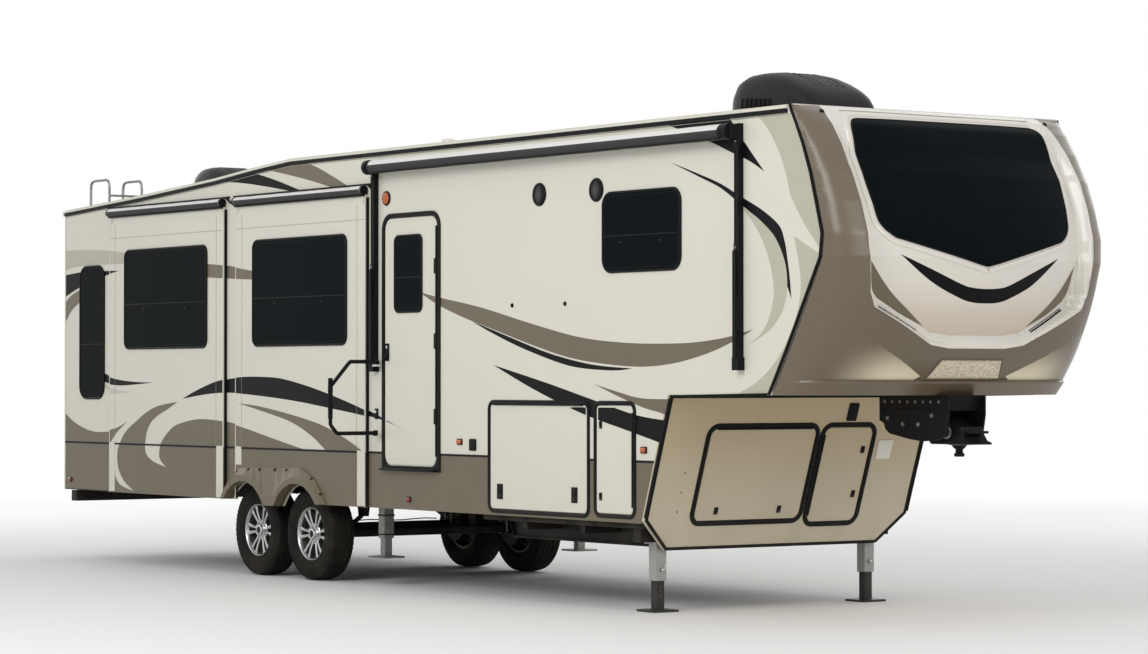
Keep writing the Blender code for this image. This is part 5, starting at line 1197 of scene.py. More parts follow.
def window_dress(name, box, place, body, split=0.45, latches=True, pane=None):
    """Black frame, seal, mid bar and catches on a pane; a rounder pane takes the place of the one named."""
    x0, x1, z0, z1, radius = box
    face = raised(place, PANE_FACE)
    form = Form(name)
    if pane:
        radius = 0.094
        form.rings([[place(u, v, out) for u, v in rounded(x0 + by, x1 - by, z0 + by, z1 - by, radius - by)]
                    for out, by in mm("-28 30, -1 30, -1 2, 8 2, 10 4")], "glass")
    frame_ring(form, rounded(x0 + 0.004, x1 - 0.004, z0 + 0.004, z1 - 0.004, radius), place, "trim", 0.020,
               0.016)
    frame_ring(form, rounded(x0 + 0.030, x1 - 0.030, z0 + 0.030, z1 - 0.030, max(radius - 0.03, 0.01)),
               face, "seal", 0.006, 0.002)
    mid = z0 + (z1 - z0) * split
    strip(form, [(x0 + 0.02, mid), (x1 - 0.02, mid)], face, "trim", 0.012, 0.004)
    if latches:
        for share in (0.25, 0.75):
            x = x0 + (x1 - x0) * share
            box_on(form, face, x - 0.02, x + 0.02, mid - 0.055, mid - 0.040, 0.0, 0.005, "trim", 0.002)
    form.make(body, replaces=(pane,) if pane else (), slot="black_trim")


def hinge_leaf(form, place, u, v, length, wide):
    """Leaf of a hinge with its screws."""
    box_on(form, place, u, u + wide, v - length / 2, v + length / 2, 0.0, 0.005, "trim", 0.002)
    for dv in (-0.33, 0.0, 0.33):
        screw(form, place, u + wide * 0.6, v + dv * length, 0.005, 0.004, "trim")


def paddle_latch(form, place, u, v, wide, high):
    """Upright latch with its paddle and a small lock."""
    box_on(form, place, u - wide, u + wide, v - high, v + high, 0.0, 0.006, "trim", 0.002)
    box_on(form, place, u - wide * 0.7, u + wide * 0.7, v - high * 0.2, v + high * 0.85, 0.005, 0.011,
           "seal", 0.002)
    knob(form, place, u, v - high * 0.6, 0.006, mm("0 8, 3 8, 4.5 5, 3.5 0"), "pocket", 16)


def hinge_tube(form, place, start, end, steps=4):
    """Round knuckle of a piano hinge from one place on a face to another."""
    spots = zip(*(spread(a, b, steps) for a, b in zip(start, end)))
    form.tube([place(u, v, HINGE_OUT) for u, v in spots], HINGE_RADIUS, "trim", 14)


def hatch_dress(name, body, box, place, look, edge, latches, size, gap, wide, hinge):
    """Edge moulding and latches of a baggage or nose door, its frame and piano hinge on the wall."""
    x0, x1, z0, z1, radius = box
    form = Form(name + "_fittings")
    inset, width = edge
    frame_ring(form, rounded(x0 + inset, x1 - inset, z0 + inset, z1 - inset, radius - 0.008), place, look,
               width, 0.003)
    for x, z in latches:
        paddle_latch(form, place, x, z, *size)
    form.make(body, slot="black_trim")
    around = Form(name + "_frame")
    frame_ring(around, rounded(x0 - gap, x1 + gap, z0 - gap, z1 + gap, radius + 0.03), place, "trim", wide,
               0.012)
    hinge_tube(around, place, *hinge)
    around.make("trailer", slot="black_trim")


def dress_doors():
    """Latches, hinges, mouldings and frames of the entry, baggage and nose doors."""
    curb, street = side_place(CURB), side_place(STREET)
    door = Form("entry_door_fittings")
    x0, x1, z0, z1, radius = ENTRY
    frame_ring(door, rounded(x0 + 0.016, x1 - 0.016, z0 + 0.016, z1 - 0.016, radius - 0.01), curb, "cream",
               0.024, 0.004)
    box_on(door, curb, x0 + 0.012, x0 + 0.062, 1.815, 1.955, 0.0, 0.010, "trim", 0.003)
    box_on(door, curb, x0 + 0.018, x0 + 0.056, 1.835, 1.885, 0.008, 0.022, "trim", 0.004)
    knob(door, curb, x0 + 0.037, 1.925, 0.009, mm("0 13, 5 13, 7 9, 6 0"), "chrome", 18)
    for z in (1.379, 1.968, 2.556):
        hinge_leaf(door, curb, x1 - 0.045, z, 0.12, 0.034)
    door.make("entry_door", slot="black_trim")
    window_dress("entry_window_frame", DOOR_WINDOW, curb, "entry_door", split=0.45, latches=False)

    surround = Form("entry_door_frame")
    low = z0 - 0.030
    edge = rounded(x0 - 0.004, x1 + 0.004, z0 - 0.004, z1 + 0.004, radius)
    for x, side in ((x0 - 0.02, -1), (x1 + 0.034, 1)):
        arc = sorted((p for p in edge if p[1] < z0 + radius and (p[0] - x0 - 0.2) * side > 0),
                     key=lambda p: p[1])
        surround.plate(arc + [(x, arc[-1][1]), (x, low), (arc[0][0], low)], curb, 0.008, "trim")
    top = [p for p in rounded(x0 - 0.020, x1 + 0.034, z0, z1 + 0.020, radius + 0.016)
           if p[1] > z0 + radius + 0.1]
    outline = [(x0 - 0.020, z0 - 0.022), (x1 + 0.034, z0 - 0.022)] + top
    surround.sweep([curb(x, z, 0.0) for x, z in outline], mm("-19 -2, 19 -2, 19 9, 15 12, -15 12, -19 9"),
                   (0, CURB, 0), "trim", closed=True)
    hinge_tube(surround, curb, (x1 + 0.003, z0 + 0.08), (x1 + 0.003, z1 - 0.08), 8)
    surround.block((5.69, -1.275, 0.945), (6.475, -1.215, 0.962), "trim", 0.003)
    surround.make("trailer", slot="black_trim")

    x0, x1, z0, z1, _ = BAGGAGE_LARGE
    low_pair = ((x0 + 0.13, z0 + 0.13), (x1 - 0.16, z0 + 0.13))
    top = ((x0 + 0.05, z1 + 0.003), (x1 - 0.05, z1 + 0.003))
    for name, place in (("large", curb), ("street", street)):
        hatch_dress(name + "_baggage", "baggage_door_" + name, BAGGAGE_LARGE, place, "cream",
                    (0.009, 0.014), low_pair, (0.038, 0.058), 0.018, 0.034, top)
    x0, x1, z0, z1, _ = BAGGAGE_SMALL
    hatch_dress("small_baggage", "baggage_door_small", BAGGAGE_SMALL, curb, "cream", (0.009, 0.014),
                ((x0 + 0.05, z0 + 0.12), (x0 + 0.05, z1 - 0.14)), (0.016, 0.028), 0.018, 0.034,
                ((x1 + 0.003, z0 + 0.05), (x1 + 0.003, z1 - 0.05)))
    y0, y1, z0, z1, _ = NOSE_LARGE
    hatch_dress("large_nose_door", "nose_door_large", NOSE_LARGE, nose_place, "nose", (0.010, 0.016),
                ((-0.60, 0.72), (-0.02, 0.72)), (0.018, 0.026), 0.021, 0.040,
                ((y0 + 0.05, z1 + 0.003), (y1 - 0.05, z1 + 0.003)))
    y0, y1, z0, z1, _ = NOSE_SMALL
    hatch_dress("small_nose_door", "nose_door_small", NOSE_SMALL, nose_place, "nose", (0.010, 0.016),
                ((0.655, 0.82), (0.655, 1.15)), (0.018, 0.026), 0.021, 0.040,
                ((y0 - 0.003, z0 + 0.05), (y0 - 0.003, z1 - 0.05)))


def dress_windows():
    """Frames of all the windows but the cap's and the entry door's."""
    curb, street = side_place(CURB), side_place(STREET)
    room_curb, room_street = side_place(CURB, ROOM_OUT), side_place(STREET, ROOM_OUT)
    window_dress("rear_side_window_frame", REAR_SIDE, curb, "trailer", split=0.41, latches=False)
    window_dress("bedroom_window_frame", BEDROOM, curb, "trailer", pane="bedroom_window")
    window_dress("street_bedroom_frame", BEDROOM, street, "trailer", pane="street_bedroom_window")
    window_dress("street_kitchen_frame", KITCHEN, street, "trailer")
    window_dress("rear_room_window_frame", REAR_ROOM_WINDOW, room_curb, "slide_room_rear")
    window_dress("middle_room_window_frame", ROOM_WINDOW, room_curb, "slide_room_middle")
    window_dress("street_room_window_frame", ROOM_WINDOW, room_street, "slide_room_street")
    window_dress("rear_window_frame", REAR_WINDOW, rear_place, "trailer")


def rolled_cloth(form, x0, x1, y, z, radius):
    """Cloth rolled on its tube: pale cloth on the faces that look upwards, dark on the rest. The split by
    facing is painted light on the top and painted shade underneath, over the colours of the cloth and its
    dark cover.
    """
    count, sides = 48, 28
    rings = []
    for share in spread(0.0, 1.0, count):
        swell = 0.0007 * sin(share * 41.0) + 0.0004 * sin(share * 97.0)
        ring = []
        for n in range(sides):
            turn, reach = 2 * pi * n / sides, radius - 0.002 + 0.0018 * n / sides + swell
            ring.append(Vector((x0 + (x1 - x0) * share, y + reach * cos(turn), z + reach * sin(turn))))
        rings.append(ring)
    # Faces that look upwards take the pale cloth, the rest the dark cover: painted light on top and painted
    # shade underneath.
    looks = ["cloth" if sin(2 * pi * (n + 0.5) / sides) > 0.30 else "shade" for _ in range(count)
             for n in range(sides)]
    form.rings(rings, looks + ["shade", "shade"])


def dress_rooms():
    """Flanges, seams and topper on each slide-out room, bulb seal on the wall beside it."""
    for name, body, side, span, high in (
            ("rear_room", "slide_room_rear", CURB, ROOM_REAR, SKIRT_Z),
            ("middle_room", "slide_room_middle", CURB, ROOM_MIDDLE, FLARE_TOP),
            ("street_room", "slide_room_street", STREET, ROOM_MIDDLE, FLARE_TOP)):
        place = side_place(side, ROOM_OUT)
        form = Form(name + "_fascia")
        x0, x1 = span
        for inner, outer, low in ((x0 + 0.112, x0, high), (x1 - 0.130, x1, SKIRT_Z)):
            wide = abs(inner - outer)
            middle = (inner + outer) / 2
            strip(form, [(middle, low + 0.01), (middle, BELT + 0.012)], place, "cream", wide - 0.004, 0.004)
            strip(form, [(inner, BELT + 0.012), (inner, 3.08)], place, "seam", 0.004, 0.0014)
        strip(form, [(x0 + 0.01, 2.958), (x1 - 0.01, 2.958)], place, "seam", 0.004, 0.0014)
        strip(form, [(x0 + 0.114, BELT), (x1 - 0.132, BELT)], place, "trim", 0.017, 0.006)
        for x in (x0 + 0.006, x1 - 0.006):
            strip(form, [(x, SKIRT_Z), (x, 3.135)], place, "cream", 0.010, 0.003)
        form.make(body, slot="wall_cream")

        topper = Form(name + "_topper")
        y, z = side * (HALF_WIDTH + 0.038), 3.193
        rolled_cloth(topper, x0 + 0.03, x1 - 0.03, y, z, 0.0375)
        for x in (x0 + 0.012, x1 - 0.012):
            topper.lathe((x, y, z), ALONG, mm("-12 0, -12 30, -8 37, 8 37, 12 30, 12 0"), "trim", 24)
        y = side * (HALF_WIDTH + 0.030)
        topper.sweep([(x0 + 0.01, y, 3.149), (x1 - 0.01, y, 3.149)], bar(0.022, 0.004, 0.022, 0.006), UP,
                     "trim")
        topper.make(body, slot="black_trim")

        seal = Form(name + "_seal")
        wall = side_place(side)
        for x in (x0 - 0.008, x1 + 0.008):
            strip(seal, [(x, SKIRT_Z + 0.005), (x, ROOM_TOP - 0.02)], wall, "seal", 0.013, 0.022)
        strip(seal, [(x0 - 0.06, ROOM_TOP + 0.085), (x1 + 0.06, ROOM_TOP + 0.085)], wall, "trim", 0.016,
              0.02)
        for x, lean in ((x0 - 0.055, 0.10), (x1 + 0.055, -0.10)):
            seal.sweep([wall(x + lean * 0.5, ROOM_TOP + 0.085, 0.01),
                        wall(x - lean * 0.5, ROOM_TOP + 0.03, 0.012)],
                       bar(0.006, 0.008, 0.006, 0.008), (0, side, 0), "trim")
        seal.make("trailer", slot="black_trim")


def dress_walls():
    """Belt line, roof rails, corner trims, lamps and small fittings on the fixed walls."""
    form = Form("wall_trims")
    spans = {CURB: mm("6 945, 3116 3295, 5456 5655, 6512 7185, 8524 8580, 9092 9305"),
             STREET: mm("6 3295, 5456 7185, 8524 9305")}
    for side in (CURB, STREET):
        place = side_place(side)
        for a, b in spans[side]:
            strip(form, [(a, BELT), (b, BELT)], place, "trim", 0.017, 0.006)
        rail = [(x, roof_at(x) - 0.034) for x in sorted((*ROOF_STOPS, 4.4, 10.82))]
        strip(form, rail, place, "trim", 0.030, 0.014)
        strip(form, [(x, z + 0.024) for x, z in rail], place, "cream", 0.020, 0.018)
        strip(form, [(x, z - 0.022) for x, z in rail], place, "seam", 0.006, 0.004)
        strip(form, [(0.008, SKIRT_Z + 0.01), (0.008, 3.19)], place, "cream", 0.014, 0.007)
        strip(form, [(9.205, 0.68), (9.50, 1.535)], place, "trim", 0.022, 0.010)
        strip(form, [(9.50, 1.548), (10.60, 1.566)], place, "seal", 0.020, 0.008)
        strip(form, [(0.01, SKIRT_Z + 0.004), (0.95, SKIRT_Z + 0.004)], place, "trim", 0.008, 0.004)
        for x, z in ((6.794, 1.187), (9.190, 1.165)):
            box_on(form, place, x - 0.036, x + 0.036, z - 0.024, z + 0.024, 0.0, 0.010, "trim", 0.003)
            box_on(form, place, x - 0.029, x + 0.029, z - 0.018, z + 0.018, 0.008, 0.022, "amber", 0.006)
        for x, z in ((0.121, 0.733), (6.056, 0.721)):
            box_on(form, place, x - 0.034, x + 0.034, z - 0.022, z + 0.022, 0.0, 0.008, "trim", 0.003)
            box_on(form, place, x - 0.028, x + 0.028, z - 0.017, z + 0.017, 0.006, 0.020, "red", 0.006)
    place = side_place(CURB)
    box_on(form, place, 6.935, 7.022, 1.122, 1.212, 0.0, 0.014, "trim", 0.004)
    strip(form, [(6.945, 1.198), (7.012, 1.198)], raised(place, 0.013), "trim", 0.008, 0.004)
    for x, z in ((7.514, 2.226), (8.209, 2.226)):
        knob(form, place, x, z, 0.0, mm("0 17, 6 16, 11 11, 12 0"), "trim", 20)
    for x in (7.876, 8.607):
        knob(form, place, x, 3.046, 0.0, mm("0 88, 8 86, 14 74, 12 66"), "trim", 36)
        knob(form, place, x, 3.046, 0.0, mm("11 67, 16 40, 18 16, 18 0"), "mesh", 36)
        for radius in (0.028, 0.045, 0.060):
            ring = [(out, radius + wide) for out, wide in mm("0 3, 6 1.5, 6 -1.5, 0 -3")]
            knob(form, place, x, 3.046, 0.012, ring, "trim", 36)
    knob(form, place, 5.72, 3.115, 0.0, mm("0 60, 8 58, 12 50"), "trim", 32)
    knob(form, place, 5.72, 3.115, 0.006, mm("0 50, 10 46, 20 30, 23 0"), "amber", 32)
    box_on(form, place, 5.558, 5.598, 1.352, 1.436, 0.0, 0.016, "trim", 0.004)
    knob(form, place, 5.578, 1.410, 0.015, mm("0 12, 4 11, 6 0"), "lens", 18)
    place = side_place(STREET)
    box_on(form, place, 2.30, 2.52, 1.22, 1.40, 0.0, 0.012, "plastic", 0.004)
    frame_ring(form, rounded(2.315, 2.505, 1.235, 1.385, 0.02), raised(place, 0.011), "seam", 0.006, 0.003)
    box_on(form, place, 0.55, 0.95, 1.28, 1.68, 0.0, 0.012, "plastic", 0.004)
    for k in range(9):
        z = 1.32 + 0.04 * k
        strip(form, [(0.58, z), (0.92, z)], raised(place, 0.011), "plastic", 0.018, 0.006)
    box_on(form, place, 6.75, 6.92, 1.24, 1.36, 0.0, 0.014, "plastic", 0.004)
    knob(form, place, 6.835, 1.30, 0.013, mm("0 30, 6 28, 8 0"), "trim", 24)
    form.make("trailer", slot="black_trim")


def dress_rear():
    """Painted bands, lamps and trims of the rear wall, brackets and treads of the ladder."""
    form = Form("rear_fittings")
    place = rear_place
    bands = (("taupe", square(-1.215, 1.215, SKIRT_Z + 0.004, BELT)),
             ("sage", square(-1.215, 1.215, 2.697, 2.876)),
             ("black", mm("-1215 2445, -950 2400, -390 2330, -390 2460, -950 2570, -1215 2649")),
             ("black", mm("1215 2445, 950 2400, 820 2385, 820 2510, 950 2570, 1215 2649")),
             ("taupe", mm("-1215 1083, 1215 1083, 1215 1354, 700 1270, 0 1235, -700 1270, -1215 1354")))
    for look, outline in bands:
        form.add([place(y, z, VINYL) for y, z in outline], [tuple(range(len(outline)))], look)
    strip(form, [(-1.215, BELT), (1.215, BELT)], place, "trim", 0.017, 0.006)
    for side in (-1, 1):
        strip(form, [(side * 1.212, SKIRT_Z + 0.02), (side * 1.212, 3.20)], place, "cream", 0.016, 0.007)
        y0, y1 = sorted((side * 1.02, side * 1.15))
        frame_ring(form, rounded(y0 - 0.002, y1 + 0.002, 0.858, 1.202, 0.03), place, "trim", 0.014, 0.026)
        for low, high, look in ((0.875, 0.955, "lens"), (0.965, 1.185, "red")):
            box_on(form, place, y0 + 0.012, y1 - 0.012, low, high, 0.018, 0.0285, look, 0.003)
        for k in range(6):
            z = 0.985 + k * 0.036
            strip(form, [(y0 + 0.02, z), (y1 - 0.02, z)], raised(place, 0.0275), "red", 0.010, 0.0012)
    strip(form, [(-1.2, 3.208), (1.2, 3.208)], place, "trim", 0.026, 0.012)
    for y in (-0.30, 0.0, 0.30):
        box_on(form, place, y - 0.05, y + 0.05, 3.115, 3.145, 0.0, 0.014, "red", 0.004)
    box_on(form, place, 0.30, 0.62, 1.28, 1.46, 0.0, 0.004, "trim", 0.002)
    box_on(form, place, 0.40, 0.52, 1.475, 1.50, 0.0, 0.020, "lens", 0.004)
    for side in (-1, 1):
        screw(form, place, 0.46 + side * 0.11, 1.43, 0.004, 0.006, "chrome")
    form.make("trailer", slot="black_trim")

    ladder = Form("ladder_fittings")
    for y in (-0.89, -0.55):
        for z in (1.06, 1.85, 2.62, 3.10):
            ladder.block((-0.132, y - 0.016, z - 0.022), (-0.0005, y + 0.016, z - 0.006), "alloy", 0.003)
            ladder.block((-0.012, y - 0.024, z - 0.035), (-0.0002, y + 0.024, z + 0.008), "alloy", 0.003)
            for dz in (-0.028, 0.0):
                screw(ladder, rear_place, y + 0.017, z + dz, 0.012, 0.004, "chrome")
    for z in (1.1125 + 0.30 * k for k in range(7)):
        for x in (-0.138, -0.122):
            ladder.tube([(x, y, z) for y in spread(-0.865, -0.575, 6)], 0.0022, "rubber", 6)
    ladder.make("trailer", slot="ladder_alloy")


def dress_nose():
    """Edge trims, vent, blank plate and screws of the leaning nose wall."""
    form = Form("nose_fittings")
    edge = mm("980 452, 1208 665, 1208 1540")
    for side in (-1, 1):
        strip(form, [(side * y, z) for y, z in edge], nose_place, "trim", 0.026, 0.006)
    strip(form, [(-0.98, 0.452), (0.98, 0.452)], nose_place, "trim", 0.026, 0.006)
    strip(form, [(-1.205, 1.545), (1.205, 1.545)], nose_place, "seal", 0.022, 0.004)
    box_on(form, nose_place, 0.435, 0.525, 1.365, 1.495, 0.0, 0.012, "trim", 0.004)
    for k in range(5):
        strip(form, [(0.45, 1.385 + 0.022 * k), (0.51, 1.385 + 0.022 * k)],
              raised(nose_place, 0.011), "trim", 0.012, 0.005)
    box_on(form, nose_place, 0.79, 0.93, 1.08, 1.22, 0.0, 0.010, "plastic", 0.004)
    for z in (0.72, 0.86, 1.0):
        screw(form, nose_place, -0.95, z, 0.0, 0.006)
    form.make("trailer", slot="nose_tan")


def dress_flares():
    """Row of bolts along the outer edge of each wheel flare."""
    marks = mm("3372 882, 3567 902, 3760 906, 4015 911, 4215 912, 4430 895, 4620 848, 4760 725")
    for side, room in ((CURB, "slide_room_middle"), (STREET, "slide_room_street")):
        place = side_place(side)
        form = Form("flare_bolts_curb" if side == CURB else "flare_bolts_street")
        for x, z in marks:
            knob(form, place, x, z, 0.040, mm("0 14, 7 13, 12 8, 12 0"), "trim", 14)
        form.make(room, slot="panel_taupe")


# Wheels

TREAD_BLOCKS = 54
NUT_RING = 0.068


def wheel_marks(count):
    """Even angles round a wheel."""
    return [2 * pi * k / count for k in range(count)]


def make_tyre(name, body, x, side):
    """Tyre with grooved tread blocks, shoulder cuts and sidewall rings."""
    form = Form(name)
    top = TYRE_RADIUS
    centre, axis = Vector((x, side * WHEEL_Y, AXLE_Z)), Vector((0, side, 0))
    sidewall = mm("88 223.5, 98.5 225.5, 103 235, 106 250, 110 252, 111 262, 114.5 266, 116.5 290, "
                  "116.8 318, 114.5 322, 113.5 336, 110 340, 106.5 356, 101 368, 94 375.5")
    floor = [(0.080, top - 0.011), (0.0, top - 0.009), (-0.080, top - 0.011)]
    bead = mm("-88 223.5, 0 210, 88 223.5")
    form.lathe(centre, axis, sidewall + floor + [(-a, r) for a, r in sidewall[::-1]] + bead, "rubber", 72)
    side_dir, other = Vector((1, 0, 0)), Vector(UP)

    def at(angle, across, radius):
        return centre + axis * across + (side_dir * cos(angle) + other * sin(angle)) * radius

    ribs = ((-0.098, -0.066, 0.5, 0.006), (-0.058, -0.024, 0.0, 0.0015), (-0.017, 0.017, 0.5, 0.0),
            (0.024, 0.058, 0.0, 0.0015), (0.066, 0.098, 0.5, 0.006))
    for low, high, phase, drop in ribs:
        outer_low = 0.006 if low < -0.09 else 0.0
        outer_high = 0.006 if high > 0.09 else 0.0
        crown, groove = top - drop * 0.5, top - 0.0135
        section = ((low, groove), (low + 0.002, crown - outer_low), (high - 0.002, crown - outer_high),
                   (high, groove))
        for k in range(TREAD_BLOCKS):
            start = 2 * pi * (k + phase) / TREAD_BLOCKS
            end = start + 2 * pi / TREAD_BLOCKS * 0.86
            points = [at(angle, across, radius) for angle in (start, end) for across, radius in section]
            form.add(points, [(0, 1, 5, 4), (1, 2, 6, 5), (2, 3, 7, 6), (0, 3, 2, 1), (4, 5, 6, 7)],
                     "rubber")
    for sign in (-1, 1):
        for start in wheel_marks(TREAD_BLOCKS):
            end = start + 2 * pi / TREAD_BLOCKS * 0.55
            points = [at(angle, sign * across, radius) for angle in (start, end) for across, radius in
                      mm("94 376.5, 103.5 368, 109.5 350, 106 350, 92 372")]
            form.add(points, [(0, 1, 6, 5), (1, 2, 7, 6), (2, 3, 8, 7), (0, 4, 3, 2, 1), (5, 6, 7, 8, 9)],
                     "rubber")
    form.make(body, replaces=(name.replace("wheel_", "tyre_").replace("_tread", ""),), slot="tyre",
              angle=28.0)


def make_rim(name, body, x, side):
    """Alloy rim: barrel, lip, twin spokes over a dark drum, cap and nuts. The drum's dark is its own colour
    with painted shade; the inside of the barrel, the sides of the spokes and the discs between the spokes
    are painted shade.
    """
    form = Form(name)
    centre, axis = Vector((x, side * WHEEL_Y, AXLE_Z)), Vector((0, side, 0))
    lip = [(RIM_HALF + out, radius) for out, radius in mm("0 222.5, 2 219, -2 213, -10 209")]
    barrel = mm("68 203, 52 198, 30 192")
    # The inner end of the barrel is dark: painted shade inside the rim.
    form.lathe(centre, axis, lip + barrel, ["alloy"] * 4 + ["pocket"] * 2, 64)
    form.lathe(centre, axis, ((0.030, 0.192), (-0.03, 0.186), (-RIM_HALF, 0.205), (-RIM_HALF, 0.2225)),
               "pocket", 48)
    form.lathe(centre, axis, mm("16 190, 10 150, 22 148, 26 60, 30 0"), "pocket", 40)
    u, v = Vector((1, 0, 0)), Vector(UP)

    def at(angle, across, radius, off=0.0):
        radial = u * cos(angle) + v * sin(angle)
        tangent = u * -sin(angle) + v * cos(angle)
        return centre + axis * across + radial * radius + tangent * off

    # The sides and back of each spoke are dark: painted shade between the spokes.
    section = ((-0.024, -1), (-0.004, -1), (0.0, -0.55), (0.0, 0.55), (-0.004, 1), (-0.024, 1))
    for angle in wheel_marks(6):
        for lean in (-1, 1):
            rings = []
            for k in range(9):
                s = k / 8
                radius = 0.048 + (0.203 - 0.048) * s
                off = lean * (0.012 + 0.026 * s ** 1.2)
                width = 0.0135 - 0.002 * sin(pi * s) + 0.006 * s ** 4
                face = RIM_FACE + 0.010 - 0.012 * (1 - s) ** 2 + 0.006 * s
                rings.append([at(angle, face + drop, radius, off + width * share)
                              for drop, share in section])
            form.rings(rings, (["pocket"] + ["alloy"] * 3 + ["pocket"] * 2) * 8 + ["pocket"] * 2)
    hub = mm("-30 92, -6 90, 0 84, 0 50, 4 46")
    form.lathe(centre, axis, [(RIM_FACE + out, radius) for out, radius in hub], "alloy", 48)
    # Dark discs between each pair of spokes: painted shade of the hollows.
    for angle in wheel_marks(6):
        form.lathe(at(angle, RIM_FACE, NUT_RING), axis, mm("0.3 13.5, 0.9 13, 0.5 0"), "pocket", 16)
    cap = mm("0 46, 18 45, 24 41, 26 30, 22 27, 23 0")
    form.lathe(centre, axis, [(RIM_FACE + out, radius) for out, radius in cap],
               ["chrome"] * 3 + ["trim"] * 2, 40)
    for angle in wheel_marks(6):
        spot = at(angle + pi / 6, RIM_FACE - 0.002, NUT_RING)
        form.lathe(spot, axis, mm("0 13, -4 12.5, -4 10, 12 9.5, 16 7, 17 0"), "chrome", 12)
    valve = at(pi / 2, RIM_FACE - 0.01, 0.178)
    form.tube([valve, valve + axis * 0.012, valve + axis * 0.03], 0.0035, "rubber", 8)
    form.make(body, replaces=(name.replace("wheel_", "rim_").replace("_rim", ""),), slot="rim_alloy",
              angle=32.0)


def make_wheels():
    for row, side in (("curb", CURB), ("street", STREET)):
        for number, x in enumerate(WHEEL_X, 1):
            body = f"wheel_{row}_{number}"
            make_tyre(body + "_tread", body, x, side)
            make_rim(body + "_rim", body, x, side)


# Roof

SEALANT_Y = 1.165
SCREW_DOME = mm("0 7, 3 6, 4 0")


def shroud(name, node, x0, x1, half, high):
    """Air conditioner cover: high rounded tail, long sloping nose, side louvres and a grooved top."""
    form = Form(name)
    foot = min(roof_at(x0), roof_at(x1)) + 0.002
    tall = roof_at((x0 + x1) / 2) + high - foot
    length = x1 - x0
    profile = ((0.0, 0.30, 0.80), (0.012, 0.52, 0.87), (0.04, 0.76, 0.92), (0.09, 0.90, 0.96),
               (0.18, 0.97, 0.985), (0.32, 0.985, 1.0), (0.46, 0.965, 1.0), (0.60, 0.90, 1.0),
               (0.72, 0.80, 0.99), (0.83, 0.68, 0.97), (0.91, 0.56, 0.94), (0.965, 0.42, 0.88),
               (1.0, 0.26, 0.78))
    rings = []
    for share, rise, wide in profile:
        x = x0 + length * share
        w = half * wide
        top = foot + tall * rise * 0.995
        lower = foot + (top - foot) * 0.30
        ring = [(-w, foot), (-w, lower)]
        for k in range(17):
            t = pi - pi * k / 16
            across = abs(cos(t)) ** 0.42 * (1 if cos(t) > 0 else -1)
            lift = (top - lower) * sin(t) ** 0.55 if 0 < k < 16 else 0.004
            ring.append((w * 0.965 * across, lower + lift))
        rings.append([Vector((x, y, z)) for y, z in ring + [(w, lower), (w, foot)]])
    form.rings(rings, "shroud")
    for side in (-1, 1):
        w = half * side
        sill = ((0.05, 0.955), (0.2, 1.0), (0.5, 1.01), (0.8, 0.985), (0.95, 0.93))
        form.sweep([(x0 + length * share, w * 0.975 * wide, foot + 0.02) for share, wide in sill],
                   bar(0.006, 0.012, 0.004, 0.012), UP, "shroud")
        for k in range(7):
            x = x0 + length * (0.20 + 0.055 * k)
            z0, z1 = foot + 0.07, foot + 0.20 - 0.004 * k
            form.sweep([(x, w * 0.99, z0), (x + 0.018, w * 0.985, z1)], bar(0.006, 0.004, 0.003, 0.007),
                       (0, side, 0), "trim")
    for k in (-2, -1, 0, 1, 2):
        path = [(x0 + length * share, half * 0.17 * k, foot + tall * rise * 0.994 - 0.001)
                for share, rise, _ in profile[4:10]]
        form.sweep(path, bar(0.010, 0.003, 0.006, 0.003), UP, "shroud")
    for x in (x0 + 0.06, x1 - 0.06):
        for y in (-half * 0.90, half * 0.90):
            form.lathe((x, y, foot + 0.012), UP, ((0.0, 0.012), (0.006, 0.011), (0.008, 0.0)), "zinc", 10)
    form.make("trailer", replaces=(node,), slot="cover_charcoal", angle=50.0)


